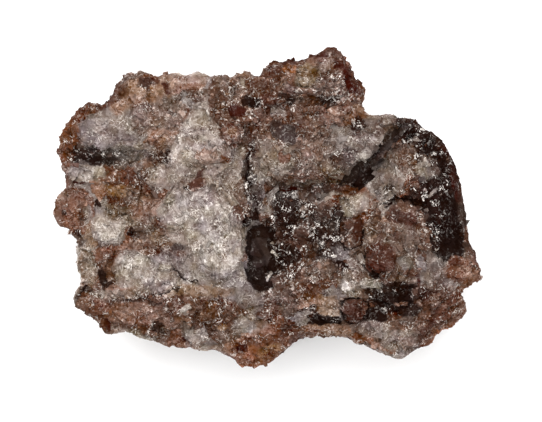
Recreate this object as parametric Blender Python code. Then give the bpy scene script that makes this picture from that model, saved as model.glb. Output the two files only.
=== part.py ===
"""Moon rock: one hand-sized piece of coarse, broken crystalline rock, lying on a flat break.

A block is lofted from the outline that the rock shows from above. Its top is carved down to slabs,
the broken crystals and ledges that meet there, and its flanks are struck off along fracture planes.
Small flat breaks then roughen it all over. The form is drawn in millimetres and set to the driving
dimensions, in metres, at the end. +Z is up, and the origin is in the middle of the rectangle that
the rock covers, on its base.
"""

import math

import bmesh
import bpy
import numpy as np

# Driving dimensions, in metres.
ROCK_LENGTH = 0.107  # along X
ROCK_WIDTH = 0.081  # along Y
ROCK_HEIGHT = 0.041  # along Z, from the flat break to the highest slab
TRIANGLES = 9200  # of the finished solid

# The outline from above, in millimetres, clockwise from the tip of the west lobe.
OUTLINE = [
    (-53.2, -0.5), (-52.2, 2.2), (-49.8, 5.0), (-49.5, 7.8), (-51.2, 11.2), (-52.2, 14.5),
    (-51.5, 17.8), (-49.5, 21.2), (-46.5, 24.2), (-44.0, 26.5), (-42.2, 25.2), (-39.0, 27.5),
    (-37.0, 31.0), (-35.8, 31.5), (-33.8, 34.0), (-31.2, 34.5), (-28.2, 33.5), (-26.8, 32.8),
    (-25.2, 34.0), (-24.0, 33.2), (-21.0, 34.0), (-16.5, 34.2), (-15.0, 33.0), (-11.2, 33.8),
    (-8.8, 32.2), (-7.0, 34.0), (-4.2, 33.8), (-3.2, 32.2), (0.2, 33.4), (-0.2, 35.0), (2.0, 36.2),
    (6.0, 37.0), (7.2, 35.8), (10.0, 37.0), (15.0, 39.2), (16.5, 40.5), (18.8, 38.2), (20.8, 36.2),
    (20.2, 34.5), (23.0, 31.2), (24.8, 28.0), (23.8, 26.8), (24.5, 23.5), (27.8, 22.8), (29.0, 23.5),
    (33.5, 23.0), (37.0, 22.2), (38.5, 20.5), (41.0, 19.2), (43.8, 17.0), (45.0, 15.0), (46.8, 11.8),
    (47.8, 9.5), (48.8, 6.8), (48.2, 5.2), (49.2, 2.0), (50.5, -2.5), (50.8, -7.0), (52.2, -11.0),
    (52.5, -14.2), (53.5, -16.8), (52.2, -18.8), (49.5, -20.5), (49.2, -23.2), (49.8, -25.0),
    (47.8, -27.5), (46.8, -29.2), (43.5, -31.5), (41.0, -34.2), (37.0, -35.8), (34.0, -37.5),
    (31.0, -36.5), (28.5, -35.2), (24.2, -33.8), (22.0, -34.0), (21.0, -32.5), (16.8, -31.8),
    (12.2, -32.0), (7.5, -32.5), (5.8, -35.0), (1.5, -37.8), (-2.2, -39.8), (-4.5, -40.2),
    (-7.0, -38.5), (-8.2, -37.0), (-11.0, -36.5), (-14.8, -35.5), (-19.0, -34.8), (-22.0, -35.2),
    (-25.8, -34.0), (-31.2, -32.2), (-35.0, -30.5), (-38.0, -30.2), (-39.8, -31.8), (-41.2, -28.0),
    (-45.0, -26.2), (-47.2, -24.2), (-47.2, -20.8), (-46.5, -19.2), (-47.0, -14.2), (-46.8, -8.2),
    (-48.5, -7.2), (-48.5, -5.2), (-51.0, -4.2),
]

# The block's rings, from the base up: height, share of the outline's reach, and how far the outline's
# corners are softened there (0 keeps them, 1 rounds them all off).
RINGS = [
    (-2.0, 0.84, 1.0), (5.0, 0.92, 1.0), (11.0, 0.96, 0.95), (17.0, 0.985, 0.8), (22.0, 0.995, 0.5),
    (25.5, 1.0, 0.15), (28.0, 1.0, 0.0), (31.5, 0.995, 0.1), (36.0, 0.975, 0.4), (43.0, 0.95, 0.7),
]
BROW_HEIGHT = 28.0  # where the block is widest
BROW_WAVES = [(1.8, 2, 0.8), (1.2, 5, 2.0)]  # how it rises and falls round the rock: height, waves, phase
BROW_SPREAD = 14.0  # how far above and below the brow the rings follow it
BROW_STARTS = 12.0  # height from which the breaks move the flanks less and less, up to the brow
BROW_BREAKS = 0.25  # how much they still move them at the brow
SOFTENED_OVER = 17.0  # length of outline over which a softened corner is averaged

# The slabs that make the top, laid down in this order, each over the ones before it: name, centre x
# and y, height of the centre, half length, half width, turn of the length from +X in degrees, dip in
# degrees, and the bearing that it dips towards, in degrees from +X.
SLABS = [
    ("north_strip", -17.0, 29.5, 35.0, 33.0, 8.0, 0, 17, 92),
    ("grey_shelf", -37.0, 19.5, 35.6, 13.5, 9.0, 22, 9, 150),
    ("shelf_step", -24.0, 19.0, 36.0, 6.5, 7.5, 0, 5, 60),
    ("shadow_slot", -40.0, 13.0, 31.3, 11.5, 2.2, -2, 10, 95),
    ("pink_ledge", -42.5, 7.8, 33.2, 6.5, 2.8, 0, 12, 240),
    ("rust_saddle", -31.0, 4.5, 35.4, 10.0, 6.5, 10, 5, 250),
    ("white_block", -16.5, 17.5, 37.9, 7.5, 9.5, 62, 9, 215),
    ("white_shoulder", -15.0, -5.5, 38.6, 12.5, 10.5, -52, 10, 225),
    ("grey_slope", -27.0, -13.0, 35.9, 16.0, 8.5, -8, 8, 262),
    ("west_lobe", -49.0, -2.0, 31.6, 6.0, 5.5, 0, 16, 185),
    ("west_cheek", -44.5, -13.5, 33.2, 9.5, 2.6, 88, 34, 180),
    ("south_apron", -14.0, -30.0, 31.8, 36.0, 7.6, -6, 30, 262),
    ("south_bench", -13.0, -23.0, 34.9, 17.0, 3.0, 2, 10, 275),
    ("south_tip", -3.5, -36.0, 29.6, 7.5, 4.0, 8, 26, 275),
    ("dark_field", 9.0, -3.5, 35.2, 13.5, 8.5, -12, 4, 20),
    ("dark_hollow", -0.8, -10.5, 32.3, 4.8, 7.8, 8, 7, 200),
    ("north_horn", 13.5, 31.5, 35.0, 12.5, 8.0, 24, 12, 75),
    ("horn_slot", 12.0, 25.2, 33.2, 9.5, 1.4, 4, 8, 90),
    ("long_slab", 15.0, 16.5, 38.2, 16.5, 8.6, 8, 6, 330),
    ("slab_point", 29.5, 15.0, 38.0, 8.0, 5.5, 52, 5, 250),
    ("black_crevice", 28.5, 9.0, 33.0, 17.0, 1.7, 46, 6, 300),
    ("crevice_tail", 11.5, 6.2, 34.0, 12.0, 1.1, 3, 5, 270),
    ("grey_wedge", 29.5, 3.8, 36.6, 8.5, 4.0, 28, 16, 320),
    ("east_bulge", 37.5, 9.5, 36.2, 6.5, 6.5, 0, 12, 60),
    ("east_chamfer", 46.5, 1.0, 31.4, 22.0, 5.2, 105, 38, 12),
    ("brown_knob", 33.5, -4.0, 37.0, 7.5, 5.0, -20, 10, 120),
    ("south_east_field", 27.0, -16.0, 36.3, 13.0, 10.0, -25, 7, 300),
    ("rust_crystal", 28.5, -12.5, 37.8, 4.6, 3.8, 0, 12, 30),
    ("dark_pocket", 33.0, -21.5, 32.8, 7.5, 3.2, -8, 8, 250),
    ("east_nose", 49.0, -17.5, 31.5, 7.0, 4.5, -40, 26, 320),
    ("south_east_apron", 39.0, -29.0, 31.6, 12.5, 5.5, 32, 32, 305),
    ("south_lip", 14.0, -29.5, 33.4, 10.0, 2.8, 2, 26, 268),
]
TOP_LEVEL = 35.4  # where no slab lies
SLAB_EDGE = 1.0  # width of the break at a slab's edge
SLAB_SQUARENESS = 4.5  # 2 makes elliptic slabs, more makes squarer ones
SLAB_WANDERS = [(5.0, 1.2), (2.2, 0.6)]  # how the slabs' edges stray: cell size and reach

# Fracture planes that strike off the flanks and the underside: bearing that the plane faces, in degrees
# from +X, its lean (below 0 it faces down), and the reach and height of a point that it passes through.
FRACTURES = [
    (355, -13, 55.4, 28.0), (38, -30, 46.5, 28.0), (66, -16, 44.6, 28.0), (94, -14, 40.0, 28.0),
    (116, -27, 46.0, 28.0), (150, -34, 54.4, 28.0), (184, -17, 54.2, 28.0), (222, -29, 53.0, 28.0),
    (262, -12, 41.2, 28.0), (288, -25, 46.9, 28.0), (324, -31, 56.0, 28.0), (12, -58, 43.0, 7.0),
    (80, -54, 29.0, 6.0), (146, -60, 42.0, 7.0), (206, -52, 43.0, 6.0), (276, -57, 30.0, 6.0),
    (335, -50, 42.0, 5.0),
]

# Breaks all over the rock: cell size, depth of the steps between breaks, and tilt as rise over run.
BREAKS = [(15.0, 0.9, 0.10), (7.5, 0.5, 0.15)]
SEED_JITTER = 0.45  # how far a break's seed strays from the middle of its cell, in cells
RIM_WANDER = 0.5  # raggedness of the outline between its points
RIM_CELL = 2.2  # length of outline from one swing of that raggedness to the next

BLOCK_VOXEL = 0.7  # fineness of the mesh that is carved
BREAK_VOXEL = 0.55  # fineness of the mesh that is cut down to the finished triangles
OUTLINE_STEP = 0.6  # longest side of the outline once it is divided
FLAT_BREAK = 3.2  # height of the slice that the flat break takes off the lowest point
SEED = 7
COLOUR = (0.26, 0.19, 0.155, 1.0)
ROUGHNESS = 0.62


class Lattice:
    """Seeded random numbers on a box lattice of cells that covers the rock."""

    LOW = np.array([-66.0, -54.0, -14.0])
    SPAN = np.array([132.0, 108.0, 70.0])

    def __init__(self, cell, values, rng):
        self.cell = cell
        shape = tuple(np.ceil(self.SPAN / cell).astype(int) + 4)
        self.table = rng.uniform(-1.0, 1.0, shape + (values,))

    def place(self, points):
        """The points in units of cells, split into the cell's index and the place inside it."""
        scaled = (points - self.LOW) / self.cell + 1.0
        index = np.floor(scaled).astype(int)
        return index, scaled - index


def smooth_noise(points, cell, rng, values=1):
    """Value noise: random values at the lattice corners, blended smoothly across each cell."""
    lattice = Lattice(cell, values, rng)
    index, inside = lattice.place(points)
    ease = inside * inside * (3.0 - 2.0 * inside)
    total = np.zeros((len(points), values))
    for corner in np.ndindex(2, 2, 2):
        weight = np.prod(np.where(corner, ease, 1.0 - ease), axis=1)
        total += weight[:, None] * lattice.table[tuple((index + corner).T)]
    return total


def flat_breaks(points, cell, step, tilt, rng):
    """Height of broken flats: each point takes the plane of its nearest seed, one seed to a lattice
    cell, and the planes differ in height by up to step and lean by up to tilt."""
    seeds = Lattice(cell, 3, rng)
    planes = Lattice(cell, 4, rng)
    index, inside = seeds.place(points)
    nearest = np.full(len(points), np.inf)
    height = np.zeros(len(points))
    for offset in np.ndindex(3, 3, 3):
        neighbour = index + np.array(offset) - 1
        key = tuple(neighbour.T)
        away = inside - (neighbour - index + 0.5 + SEED_JITTER * seeds.table[key])
        distance = np.einsum("ij,ij->i", away, away)
        plane = planes.table[key]
        here = step * plane[:, 3] + tilt * cell * np.einsum("ij,ij->i", away, plane[:, :3])
        closer = distance < nearest
        nearest = np.where(closer, distance, nearest)
        height = np.where(closer, here, height)
    return height


def divided(corners, longest):
    """The closed outline with points added along its sides, so that none is longer than longest."""
    corners = np.array(corners)
    ends = np.roll(corners, -1, axis=0)
    sides = []
    for start, end in zip(corners, ends):
        parts = max(1, math.ceil(np.linalg.norm(end - start) / longest))
        sides.append(start + (end - start) * (np.arange(parts) / parts)[:, None])
    return np.concatenate(sides)


def softened(loop, over):
    """The closed loop with each point averaged along the stretch of loop this long around it."""
    reach = max(1, round(over / OUTLINE_STEP / 2))
    turns = np.arange(-reach, reach + 1)
    weights = np.cos(turns / (reach + 1) * math.pi / 2) ** 2
    return sum(w * np.roll(loop, t, axis=0) for t, w in zip(turns, weights)) / weights.sum()


def block_mesh(rng):
    """The lofted block: rings of the outline, each at its height, reach and softness, closed by caps."""
    loop = divided(OUTLINE, OUTLINE_STEP)
    flat = np.column_stack([loop, np.zeros(len(loop))])
    loop = loop + RIM_WANDER * smooth_noise(flat, RIM_CELL, rng, 2)
    soft = softened(loop, SOFTENED_OVER)
    bearing = np.arctan2(loop[:, 1], loop[:, 0])
    brow = sum(height * np.sin(waves * bearing + phase) for height, waves, phase in BROW_WAVES)
    rings = []
    for height, reach, softness in RINGS:
        at_brow = max(0.0, 1.0 - abs(height - BROW_HEIGHT) / BROW_SPREAD)
        level = height + at_brow * brow
        plan = reach * (softness * soft + (1.0 - softness) * loop)
        rings.append(np.column_stack([plan, level]))
    count = len(loop)
    quads = []
    for ring in range(len(rings) - 1):
        for i in range(count):
            j = (i + 1) % count
            low, high = ring * count, (ring + 1) * count
            quads.append((low + j, low + i, high + i, high + j))
    top = (len(rings) - 1) * count
    caps = [tuple(range(count)), tuple(range(top + count - 1, top - 1, -1))]
    mesh = bpy.data.meshes.new("block")
    mesh.from_pydata(np.concatenate(rings).tolist(), [], quads + caps)
    return mesh


def evaluated_mesh(mesh, kind, **settings):
    """A new mesh: the given one as a modifier of this kind leaves it."""
    holder = bpy.data.objects.new("holder", mesh)
    bpy.context.scene.collection.objects.link(holder)
    modifier = holder.modifiers.new(kind, kind)
    for name, value in settings.items():
        setattr(modifier, name, value)
    graph = bpy.context.evaluated_depsgraph_get()
    made = bpy.data.meshes.new_from_object(holder.evaluated_get(graph))
    bpy.data.objects.remove(holder)
    bpy.data.meshes.remove(mesh)
    return made


def points_of(mesh):
    """The mesh's vertices as rows of x, y, z."""
    flat = np.empty(len(mesh.vertices) * 3)
    mesh.vertices.foreach_get("co", flat)
    return flat.reshape(-1, 3)


def normals_of(mesh):
    """The mesh's vertex normals as rows of x, y, z."""
    flat = np.empty(len(mesh.vertices) * 3)
    mesh.vertex_normals.foreach_get("vector", flat)
    return flat.reshape(-1, 3)


def set_points(mesh, points):
    """Moves the mesh's vertices to these rows of x, y, z."""
    mesh.vertices.foreach_set("co", points.ravel())
    mesh.update()


def heading(bearing):
    """The direction in plan of a bearing in degrees."""
    return np.array([math.cos(math.radians(bearing)), math.sin(math.radians(bearing))])


def slab_top(points, rng):
    """Height of the top over each point's place in plan, from the slabs laid over each other in order."""
    flat = points * (1.0, 1.0, 0.0)
    strayed = points[:, :2].copy()
    for cell, reach in SLAB_WANDERS:
        strayed += reach * smooth_noise(flat, cell, rng, 2)
    top = np.full(len(points), TOP_LEVEL)
    for _, x, y, height, half_length, half_width, turn, dip, towards in SLABS:
        along = (strayed - (x, y)) @ heading(turn) / half_length
        across = (strayed - (x, y)) @ heading(turn + 90.0) / half_width
        sum_of_powers = np.abs(along) ** SLAB_SQUARENESS + np.abs(across) ** SLAB_SQUARENESS
        out = sum_of_powers ** (1.0 / SLAB_SQUARENESS)
        cover = np.clip((1.0 - out) * half_width / SLAB_EDGE + 0.5, 0.0, 1.0)
        run = (points[:, :2] - (x, y)) @ heading(towards)
        plane = height - math.tan(math.radians(dip)) * run
        top = top + cover * (plane - top)
    return top


def carve(points, rng):
    """Cuts the block down to the slabs, then strikes off what lies beyond each fracture plane."""
    points = points.copy()
    points[:, 2] = np.minimum(points[:, 2], slab_top(points, rng))
    for bearing, lean, reach, height in FRACTURES:
        level, upright = heading(lean)
        facing = np.append(level * heading(bearing), upright)
        limit = reach * level + height * upright
        beyond = np.maximum(points @ facing - limit, 0.0)
        points -= beyond[:, None] * facing
    return points


def broken(points, normals, rng):
    """Moves each point along its normal by the breaks of every size, and less sideways near the brow."""
    rise = sum(flat_breaks(points, cell, step, tilt, rng) for cell, step, tilt in BREAKS)
    near_brow = np.clip((points[:, 2] - BROW_STARTS) / (BROW_HEIGHT - BROW_STARTS), 0.0, 1.0)
    sideways = rise * (1.0 - (1.0 - BROW_BREAKS) * near_brow)
    return points + np.column_stack([sideways, sideways, rise]) * normals


def joined_to(start):
    """The set of vertices that edges join to this one."""
    found = {start}
    front = [start]
    while front:
        edges = front.pop().link_edges
        ends = {v for e in edges for v in e.verts} - found
        found |= ends
        front.extend(ends)
    return found


def keep_largest_shell(mesh):
    """Removes the crumbs that come loose: every shell but the one with the most vertices."""
    shell = bmesh.new()
    shell.from_mesh(mesh)
    rest = set(shell.verts)
    shells = []
    while rest:
        shells.append(joined_to(next(iter(rest))))
        rest -= shells[-1]
    shells.sort(key=len)
    crumbs = [v for crumb in shells[:-1] for v in crumb]
    bmesh.ops.delete(shell, geom=crumbs, context="VERTS")
    shell.to_mesh(mesh)
    shell.free()


def flat_break(mesh):
    """Slices the underside off level, which leaves the one true flat that the rock rests on."""
    shell = bmesh.new()
    shell.from_mesh(mesh)
    base = min(v.co.z for v in shell.verts) + FLAT_BREAK
    everything = shell.verts[:] + shell.edges[:] + shell.faces[:]
    cut = bmesh.ops.bisect_plane(
        shell, geom=everything, plane_co=(0, 0, base), plane_no=(0, 0, -1), clear_outer=True
    )
    rim = [e for e in cut["geom_cut"] if isinstance(e, bmesh.types.BMEdge)]
    bmesh.ops.triangle_fill(shell, use_beauty=True, edges=rim, normal=(0, 0, -1))
    bmesh.ops.recalc_face_normals(shell, faces=shell.faces[:])
    shell.to_mesh(mesh)
    shell.free()


def set_to_size(mesh):
    """Sets the form to the driving dimensions, with the origin in the middle of its base."""
    points = points_of(mesh)
    low, high = points.min(axis=0), points.max(axis=0)
    middle = (low + high) / 2.0
    middle[2] = low[2]
    size = np.array([ROCK_LENGTH, ROCK_WIDTH, ROCK_HEIGHT])
    set_points(mesh, (points - middle) * (size / (high - low)))


def rock_material():
    """Brown-grey crystalline rock."""
    material = bpy.data.materials.new("brown_grey_rock")
    material.use_nodes = True
    shader = material.node_tree.nodes["Principled BSDF"]
    shader.inputs["Base Color"].default_value = COLOUR
    shader.inputs["Roughness"].default_value = ROUGHNESS
    shader.inputs["Metallic"].default_value = 0.0
    return material


def make_rock():
    rng = np.random.default_rng(SEED)
    mesh = evaluated_mesh(block_mesh(rng), "REMESH", mode="VOXEL", voxel_size=BLOCK_VOXEL)
    set_points(mesh, carve(points_of(mesh), rng))
    mesh = evaluated_mesh(mesh, "REMESH", mode="VOXEL", voxel_size=BREAK_VOXEL)
    set_points(mesh, broken(points_of(mesh), normals_of(mesh), rng))
    mesh = evaluated_mesh(mesh, "REMESH", mode="VOXEL", voxel_size=BREAK_VOXEL)
    keep_largest_shell(mesh)
    mesh = evaluated_mesh(mesh, "TRIANGULATE")
    share = TRIANGLES / len(mesh.polygons)
    mesh = evaluated_mesh(mesh, "DECIMATE", decimate_type="COLLAPSE", ratio=share)
    flat_break(mesh)
    keep_largest_shell(mesh)
    set_to_size(mesh)
    mesh.name = "rock"
    rock = bpy.data.objects.new("rock", mesh)
    bpy.context.scene.collection.objects.link(rock)
    mesh.materials.append(rock_material())
    return rock


for leftover in list(bpy.data.objects):
    bpy.data.objects.remove(leftover)

make_rock()
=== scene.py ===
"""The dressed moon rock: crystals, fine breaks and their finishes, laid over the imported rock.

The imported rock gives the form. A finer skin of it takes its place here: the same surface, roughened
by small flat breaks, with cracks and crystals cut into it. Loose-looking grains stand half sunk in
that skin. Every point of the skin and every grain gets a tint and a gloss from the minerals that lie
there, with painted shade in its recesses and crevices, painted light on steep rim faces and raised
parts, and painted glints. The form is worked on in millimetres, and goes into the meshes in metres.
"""

import math

import bmesh
import bpy
import numpy as np
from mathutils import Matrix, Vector


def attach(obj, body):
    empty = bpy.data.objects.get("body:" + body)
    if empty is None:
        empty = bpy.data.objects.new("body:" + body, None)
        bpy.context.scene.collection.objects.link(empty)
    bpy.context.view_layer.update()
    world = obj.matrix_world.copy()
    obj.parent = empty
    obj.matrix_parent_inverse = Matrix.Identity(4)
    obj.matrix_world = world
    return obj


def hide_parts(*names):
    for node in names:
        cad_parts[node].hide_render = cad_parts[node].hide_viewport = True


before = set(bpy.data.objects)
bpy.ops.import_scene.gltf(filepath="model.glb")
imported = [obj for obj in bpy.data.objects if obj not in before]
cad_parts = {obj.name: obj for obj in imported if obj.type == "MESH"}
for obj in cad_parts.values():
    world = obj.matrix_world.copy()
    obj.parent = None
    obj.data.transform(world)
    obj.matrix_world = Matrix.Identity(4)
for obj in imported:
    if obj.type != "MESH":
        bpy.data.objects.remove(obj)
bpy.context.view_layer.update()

MM = 0.001
SEED = 31

# ---------------------------------------------------------------- minerals

# Tint (red, green, blue as shares of light given back), gloss (0 dull to 1 glassy), how rough it breaks,
# how fibrous it is, and how thickly flecks of other minerals run through it.
MINERALS = {
    "chalk": ((0.268, 0.226, 0.195), 0.30, 0.45, 0.9, 0.25),
    # frost: a lighter chalk, partly painted light where it lightens steep rim faces.
    "frost": ((0.344, 0.291, 0.25), 0.30, 0.45, 0.5, 0.10),
    "pearl": ((0.184, 0.144, 0.123), 0.30, 0.40, 0.45, 0.35),
    "lilac": ((0.137, 0.109, 0.0981), 0.18, 0.35, 0.25, 0.20),
    "ash": ((0.079, 0.0475, 0.0344), 0.35, 0.60, 0.15, 0.50),
    "fawn": ((0.172, 0.0955, 0.0658), 0.35, 0.60, 0.0, 0.35),
    "umber": ((0.0693, 0.032, 0.0201), 0.55, 0.75, 0.0, 0.50),
    "rust": ((0.0936, 0.0339, 0.016), 0.50, 0.75, 0.0, 0.30),
    "oxblood": ((0.0246, 0.00324, 0.0011), 0.06, 0.40, 0.0, 0.04),
    # ember: a brighter rust, partly painted light on steep rims and edges that the lamps reach less.
    "ember": ((0.218, 0.0842, 0.0362), 0.15, 0.80, 0.0, 0.05),
    "ochre": ((0.173, 0.1, 0.0573), 0.35, 0.70, 0.0, 0.35),
    "moss": ((0.131, 0.0939, 0.0684), 0.35, 0.75, 0.2, 0.50),
    "slate": ((0.0196, 0.00725, 0.00428), 0.70, 0.70, 0.0, 0.40),
    "soot": ((0.0115, 0.00421, 0.0026), 0.95, 0.70, 0.0, 0.18),
    "pitch": ((0.00709, 0.00256, 0.00157), 0.10, 0.30, 0.0, 0.0),
    "amber": ((0.0245, 0.0048, 0.000735), 0.25, 0.30, 0.0, 0.05),
    "clay": ((0.0364, 0.00888, 0.00476), 0.05, 0.20, 0.0, 0.0),
    "plum": ((0.0292, 0.0177, 0.0156), 0.15, 0.25, 0.10, 0.15),
    "pepper": ((0.0881, 0.0536, 0.0426), 0.80, 0.80, 0.30, 1.00),
    "graphite": ((0.0257, 0.0154, 0.0132), 0.0, 0.10, 0.0, 0.0),
    # crevice_shade is no mineral: the lining of the deep crevice, painted dark as its shade.
    "crevice_shade": ((0.0301, 0.021, 0.0182), 0.0, 0.40, 0.0, 0.0),
}
NAMES = list(MINERALS)
TRAITS = np.array([(*tint, *rest) for tint, *rest in MINERALS.values()])
TINT, GLOSS, ROUGH, FIBRE, FLECKED = slice(0, 3), 3, 4, 5, 6

# The way the fibres run: the heading of fibrous grains, and the same as a turn of the fibres' pattern.
FIBRE_HEADING = np.array([0.30, 1.0, 0.0])
FIBRE_TURN = math.radians(17.0)

# How much red, green and blue each add to brightness.
BRIGHTNESS = np.array([0.21, 0.72, 0.07])

# Flecks: the share of the flecks that each mineral makes, the share of the grains that are flecks where
# they are thickest, and how much of a fleck's tint shows. A fleck has FLECK_HUE of its own hue, and the
# rest comes from its host, the mineral round it: less of it where the host is darker than DARK_TINT, but
# never less than LEAST_HOST.
FLECKS = {"chalk": 0.24, "pearl": 0.20, "soot": 0.24, "umber": 0.18, "rust": 0.04, "slate": 0.10}
FLECK_SHARE = 0.28
FLECK_STRENGTH = 0.50
FLECK_HUE = 0.45
DARK_TINT = 0.05
LEAST_HOST = 0.15

# Hazes: the cell size of each, with how far red, green and blue stray, or how far the tone does.
HUE_HAZES = [(5.0, np.array([0.03, 0.0, 0.09])), (2.0, np.array([0.03, 0.0, 0.10]))]
TONE_HAZES = [(7.0, 0.12), (2.6, 0.12)]

# How far the crystals' borders stray: cell size and reach of each wave.
CRYSTAL_WANDERS = [(4.5, 0.7), (1.7, 0.4), (0.8, 0.25)]

# The fine grain of the stone: the size of its cells, and how far their tones differ.
GRAIN_CELL = 0.5
GRAIN_TONE = 0.20

# Painted shade and light: how much darker the skin's tint is painted for each millimetre that it lies
# deep, and lighter for each that it stands out, and the least and most it keeps.
PAINTED_DEPTH_SHADE = 0.6
PAINTED_DEPTH_LIMITS = (0.45, 1.35)

# How much of a lightening or darkening is grey, and the share of its tint that a place keeps at least.
GREYING = 0.7
LEAST_TINT = 0.12

# Small crystals that stand out of the skin: how wide their edges fade, and for each the centre x and y,
# half length, half width, turn, how far it stands out, its lean in degrees, and the bearing that it leans
# towards.
STANDING_FADE = 0.5
STANDING = [
    (-8.6, 18.2, 2.4, 2.4, 10, 0.9, 18, 70),
    (21.8, -6.2, 2.2, 3.2, 8, 1.0, 20, 330),
    (28.3, -13.0, 3.6, 3.6, 0, 0.6, 14, 60),
    (21.8, -26.0, 2.7, 2.9, 10, 0.9, 16, 290),
    (34.0, -1.6, 4.2, 2.6, -8, 0.5, 14, 300),
    (-22.3, 14.6, 4.0, 0.8, 66, 0.8, 0, 0),
    (-15.0, 12.8, 2.5, 1.8, 10, 0.4, 12, 250),
    (19.5, 4.2, 3.2, 1.5, -4, -0.5, 10, 80),
    (22.5, 20.2, 1.6, 2.1, -20, 0.5, 15, 140),
    (36.8, -1.8, 1.0, 1.8, 20, 0.5, 10, 20),
    (38.5, -11.8, 1.1, 3.7, -15, 0.6, 12, 200),
    (15.6, -24.6, 2.8, 3.0, 0, 0.5, 14, 110),
    (-34.6, 7.8, 2.0, 1.8, 0, 0.5, 12, 300),
    (-17.8, -32.2, 2.4, 2.0, 20, 0.6, 14, 240),
    (-6.2, -35.5, 1.6, 1.2, 0, -0.6, 10, 240),
    (5.5, -0.5, 2.4, 3.6, 10, 0.7, 16, 20),
    (9.5, -5.0, 2.0, 1.6, 30, 0.6, 20, 200),
    (13.5, -1.5, 1.8, 2.4, -20, 0.6, 18, 100),
    (38.0, -20.0, 1.8, 1.6, 0, 0.5, 15, 60),
    (-40.0, -5.0, 3.8, 3.4, 0, 0.5, 10, 100),
]

# Places where the rock's rim swells out or draws in: x and y, how far round it, and by how much.
SWELLS = [
    (47.4, 11.0, 2.5, 0.3), (-52.2, 14.5, 4.5, -1.0), (-51.0, 19.5, 3.0, -0.7), (-41.0, 27.5, 2.5, -0.9),
    (-47.2, -9.0, 3.0, -0.9), (-47.2, -17.0, 5.0, -1.0), (-39.5, -31.5, 1.6, 1.1), (-45.5, -26.5, 3.0, -0.9),
    (9.8, -33.5, 2.5, -0.9), (20.0, -34.5, 5.0, -0.5), (37.0, -36.8, 3.0, -0.8), (25.5, 24.5, 2.0, -0.9),
    (34.0, 23.8, 3.0, -0.6), (-9.0, 34.5, 2.5, -0.7), (-33.2, 34.5, 2.5, -1.0), (50.5, -21.0, 3.0, -0.9),
    (43.0, 19.0, 4.0, -0.4), (17.0, 40.0, 3.0, -0.3), (-12.5, -37.0, 2.5, -0.8), (44.0, -31.0, 3.0, -0.3),
    (51.2, -7.0, 5.0, -1.0),
]

# Breaks in the skin: cell size, depth of the steps, tilt as rise over run, and how far their tones differ.
# How far their borders stray beside their cells. Then the fine unevenness: cell size and height.
BREAKS = [(4.4, 0.30, 0.28, 0.20), (2.1, 0.14, 0.28, 0.17)]
BREAK_STRAY = 0.25
FINE_CELL, FINE_HEIGHT = 0.9, 0.05

# Chipping: how far each new point of the skin is pushed in or out, as a share of the side it divides,
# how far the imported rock's own points are, and the share of it that the flanks get.
CHIPPING = 0.145
FIRST_CHIPPING = 0.27
FLANK_CHIPPING = 0.55

# Where the top of the rock begins, each with the stretch over which it is reached: the lean of the surface
# there, the height below which nothing is top, and the height above which everything is.
TOP_LEAN, TOP_LEAN_FADE = 0.18, 0.27
TOP_FLOOR, TOP_FLOOR_FADE = 20.0, 4.0
TOP_HEIGHT, TOP_HEIGHT_FADE = 27.5, 1.5

# The border of the top's minerals: how far along the way to the top it lies, how wide it fades, and the
# cell size and reach of its raggedness.
BORDER, BORDER_FADE = 0.3, 0.4
BORDER_CELL, BORDER_STRAY = 3.0, 0.30

# The weathered rim: how far it reaches in from the outline and how steeply it ends there, how fully it
# covers the top's minerals, and into how many bearings the outline is divided to find it.
RIM_WIDTH = 2.6
RIM_END = 1.4
RIM_COVER = 0.80
RIM_BEARINGS = 240

# The height that the rim begins at and the stretch over which it does, how firmly its own minerals cover
# it, how ragged they are and the least that raggedness leaves of them, how much lighter its steep faces are
# painted, as painted light where the lamps reach them less, how much chipping it is spared, and how much
# sparser its grains are.
RIM_FLOOR, RIM_FLOOR_FADE = 24.0, 3.0
RIM_STRENGTH = 0.97
RIM_RAGGED, RIM_REMNANT = 1.6, 0.5
RIM_PAINTED_LIGHT = 0.35
RIM_CALM = 0.45
RIM_BARENESS = 0.675

# The longest side of the skin's triangles on top, on the flanks and underneath, the height that counts as
# underneath, and how many rounds of halving there are.
SIDE_ON_TOP = 0.68
SIDE_ON_FLANKS = 1.30
SIDE_UNDERNEATH = 3.2
UNDERNEATH = 0.5
REFINING_ROUNDS = 5

# The height over which the relief dies away towards the flat base.
BASE_FADE = 2.5

# How much of the rock each mineral fills where no crystal below says otherwise: on top, and in the
# brown, pale and dark zones of the weathered flanks and underside, with each zone's own share first.
SHARES_ON_TOP = {
    "ash": 0.29, "umber": 0.24, "fawn": 0.11, "pearl": 0.10, "lilac": 0.10, "rust": 0.08, "slate": 0.04,
    "soot": 0.02, "oxblood": 0.02,
}
FLANK_ZONES = [
    (0.60, {
        "rust": 0.34, "umber": 0.31, "fawn": 0.16, "oxblood": 0.04, "ochre": 0.05, "ash": 0.06, "soot": 0.04,
    }),
    (0.22, {"lilac": 0.30, "pearl": 0.26, "ash": 0.24, "chalk": 0.10, "fawn": 0.10}),
    (0.18, {"soot": 0.34, "slate": 0.26, "umber": 0.32, "oxblood": 0.08}),
]

# The cells that those minerals fill: large zones, and patches within them. On the flanks, patches with a
# draw below this keep to the brown zone's minerals. Then how rough the flanks are for their minerals.
ZONE_CELL = 11.0
PATCH_CELL = 4.2
LONE_PATCH = -0.7
FLANK_SMOOTHING = 0.6
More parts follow.
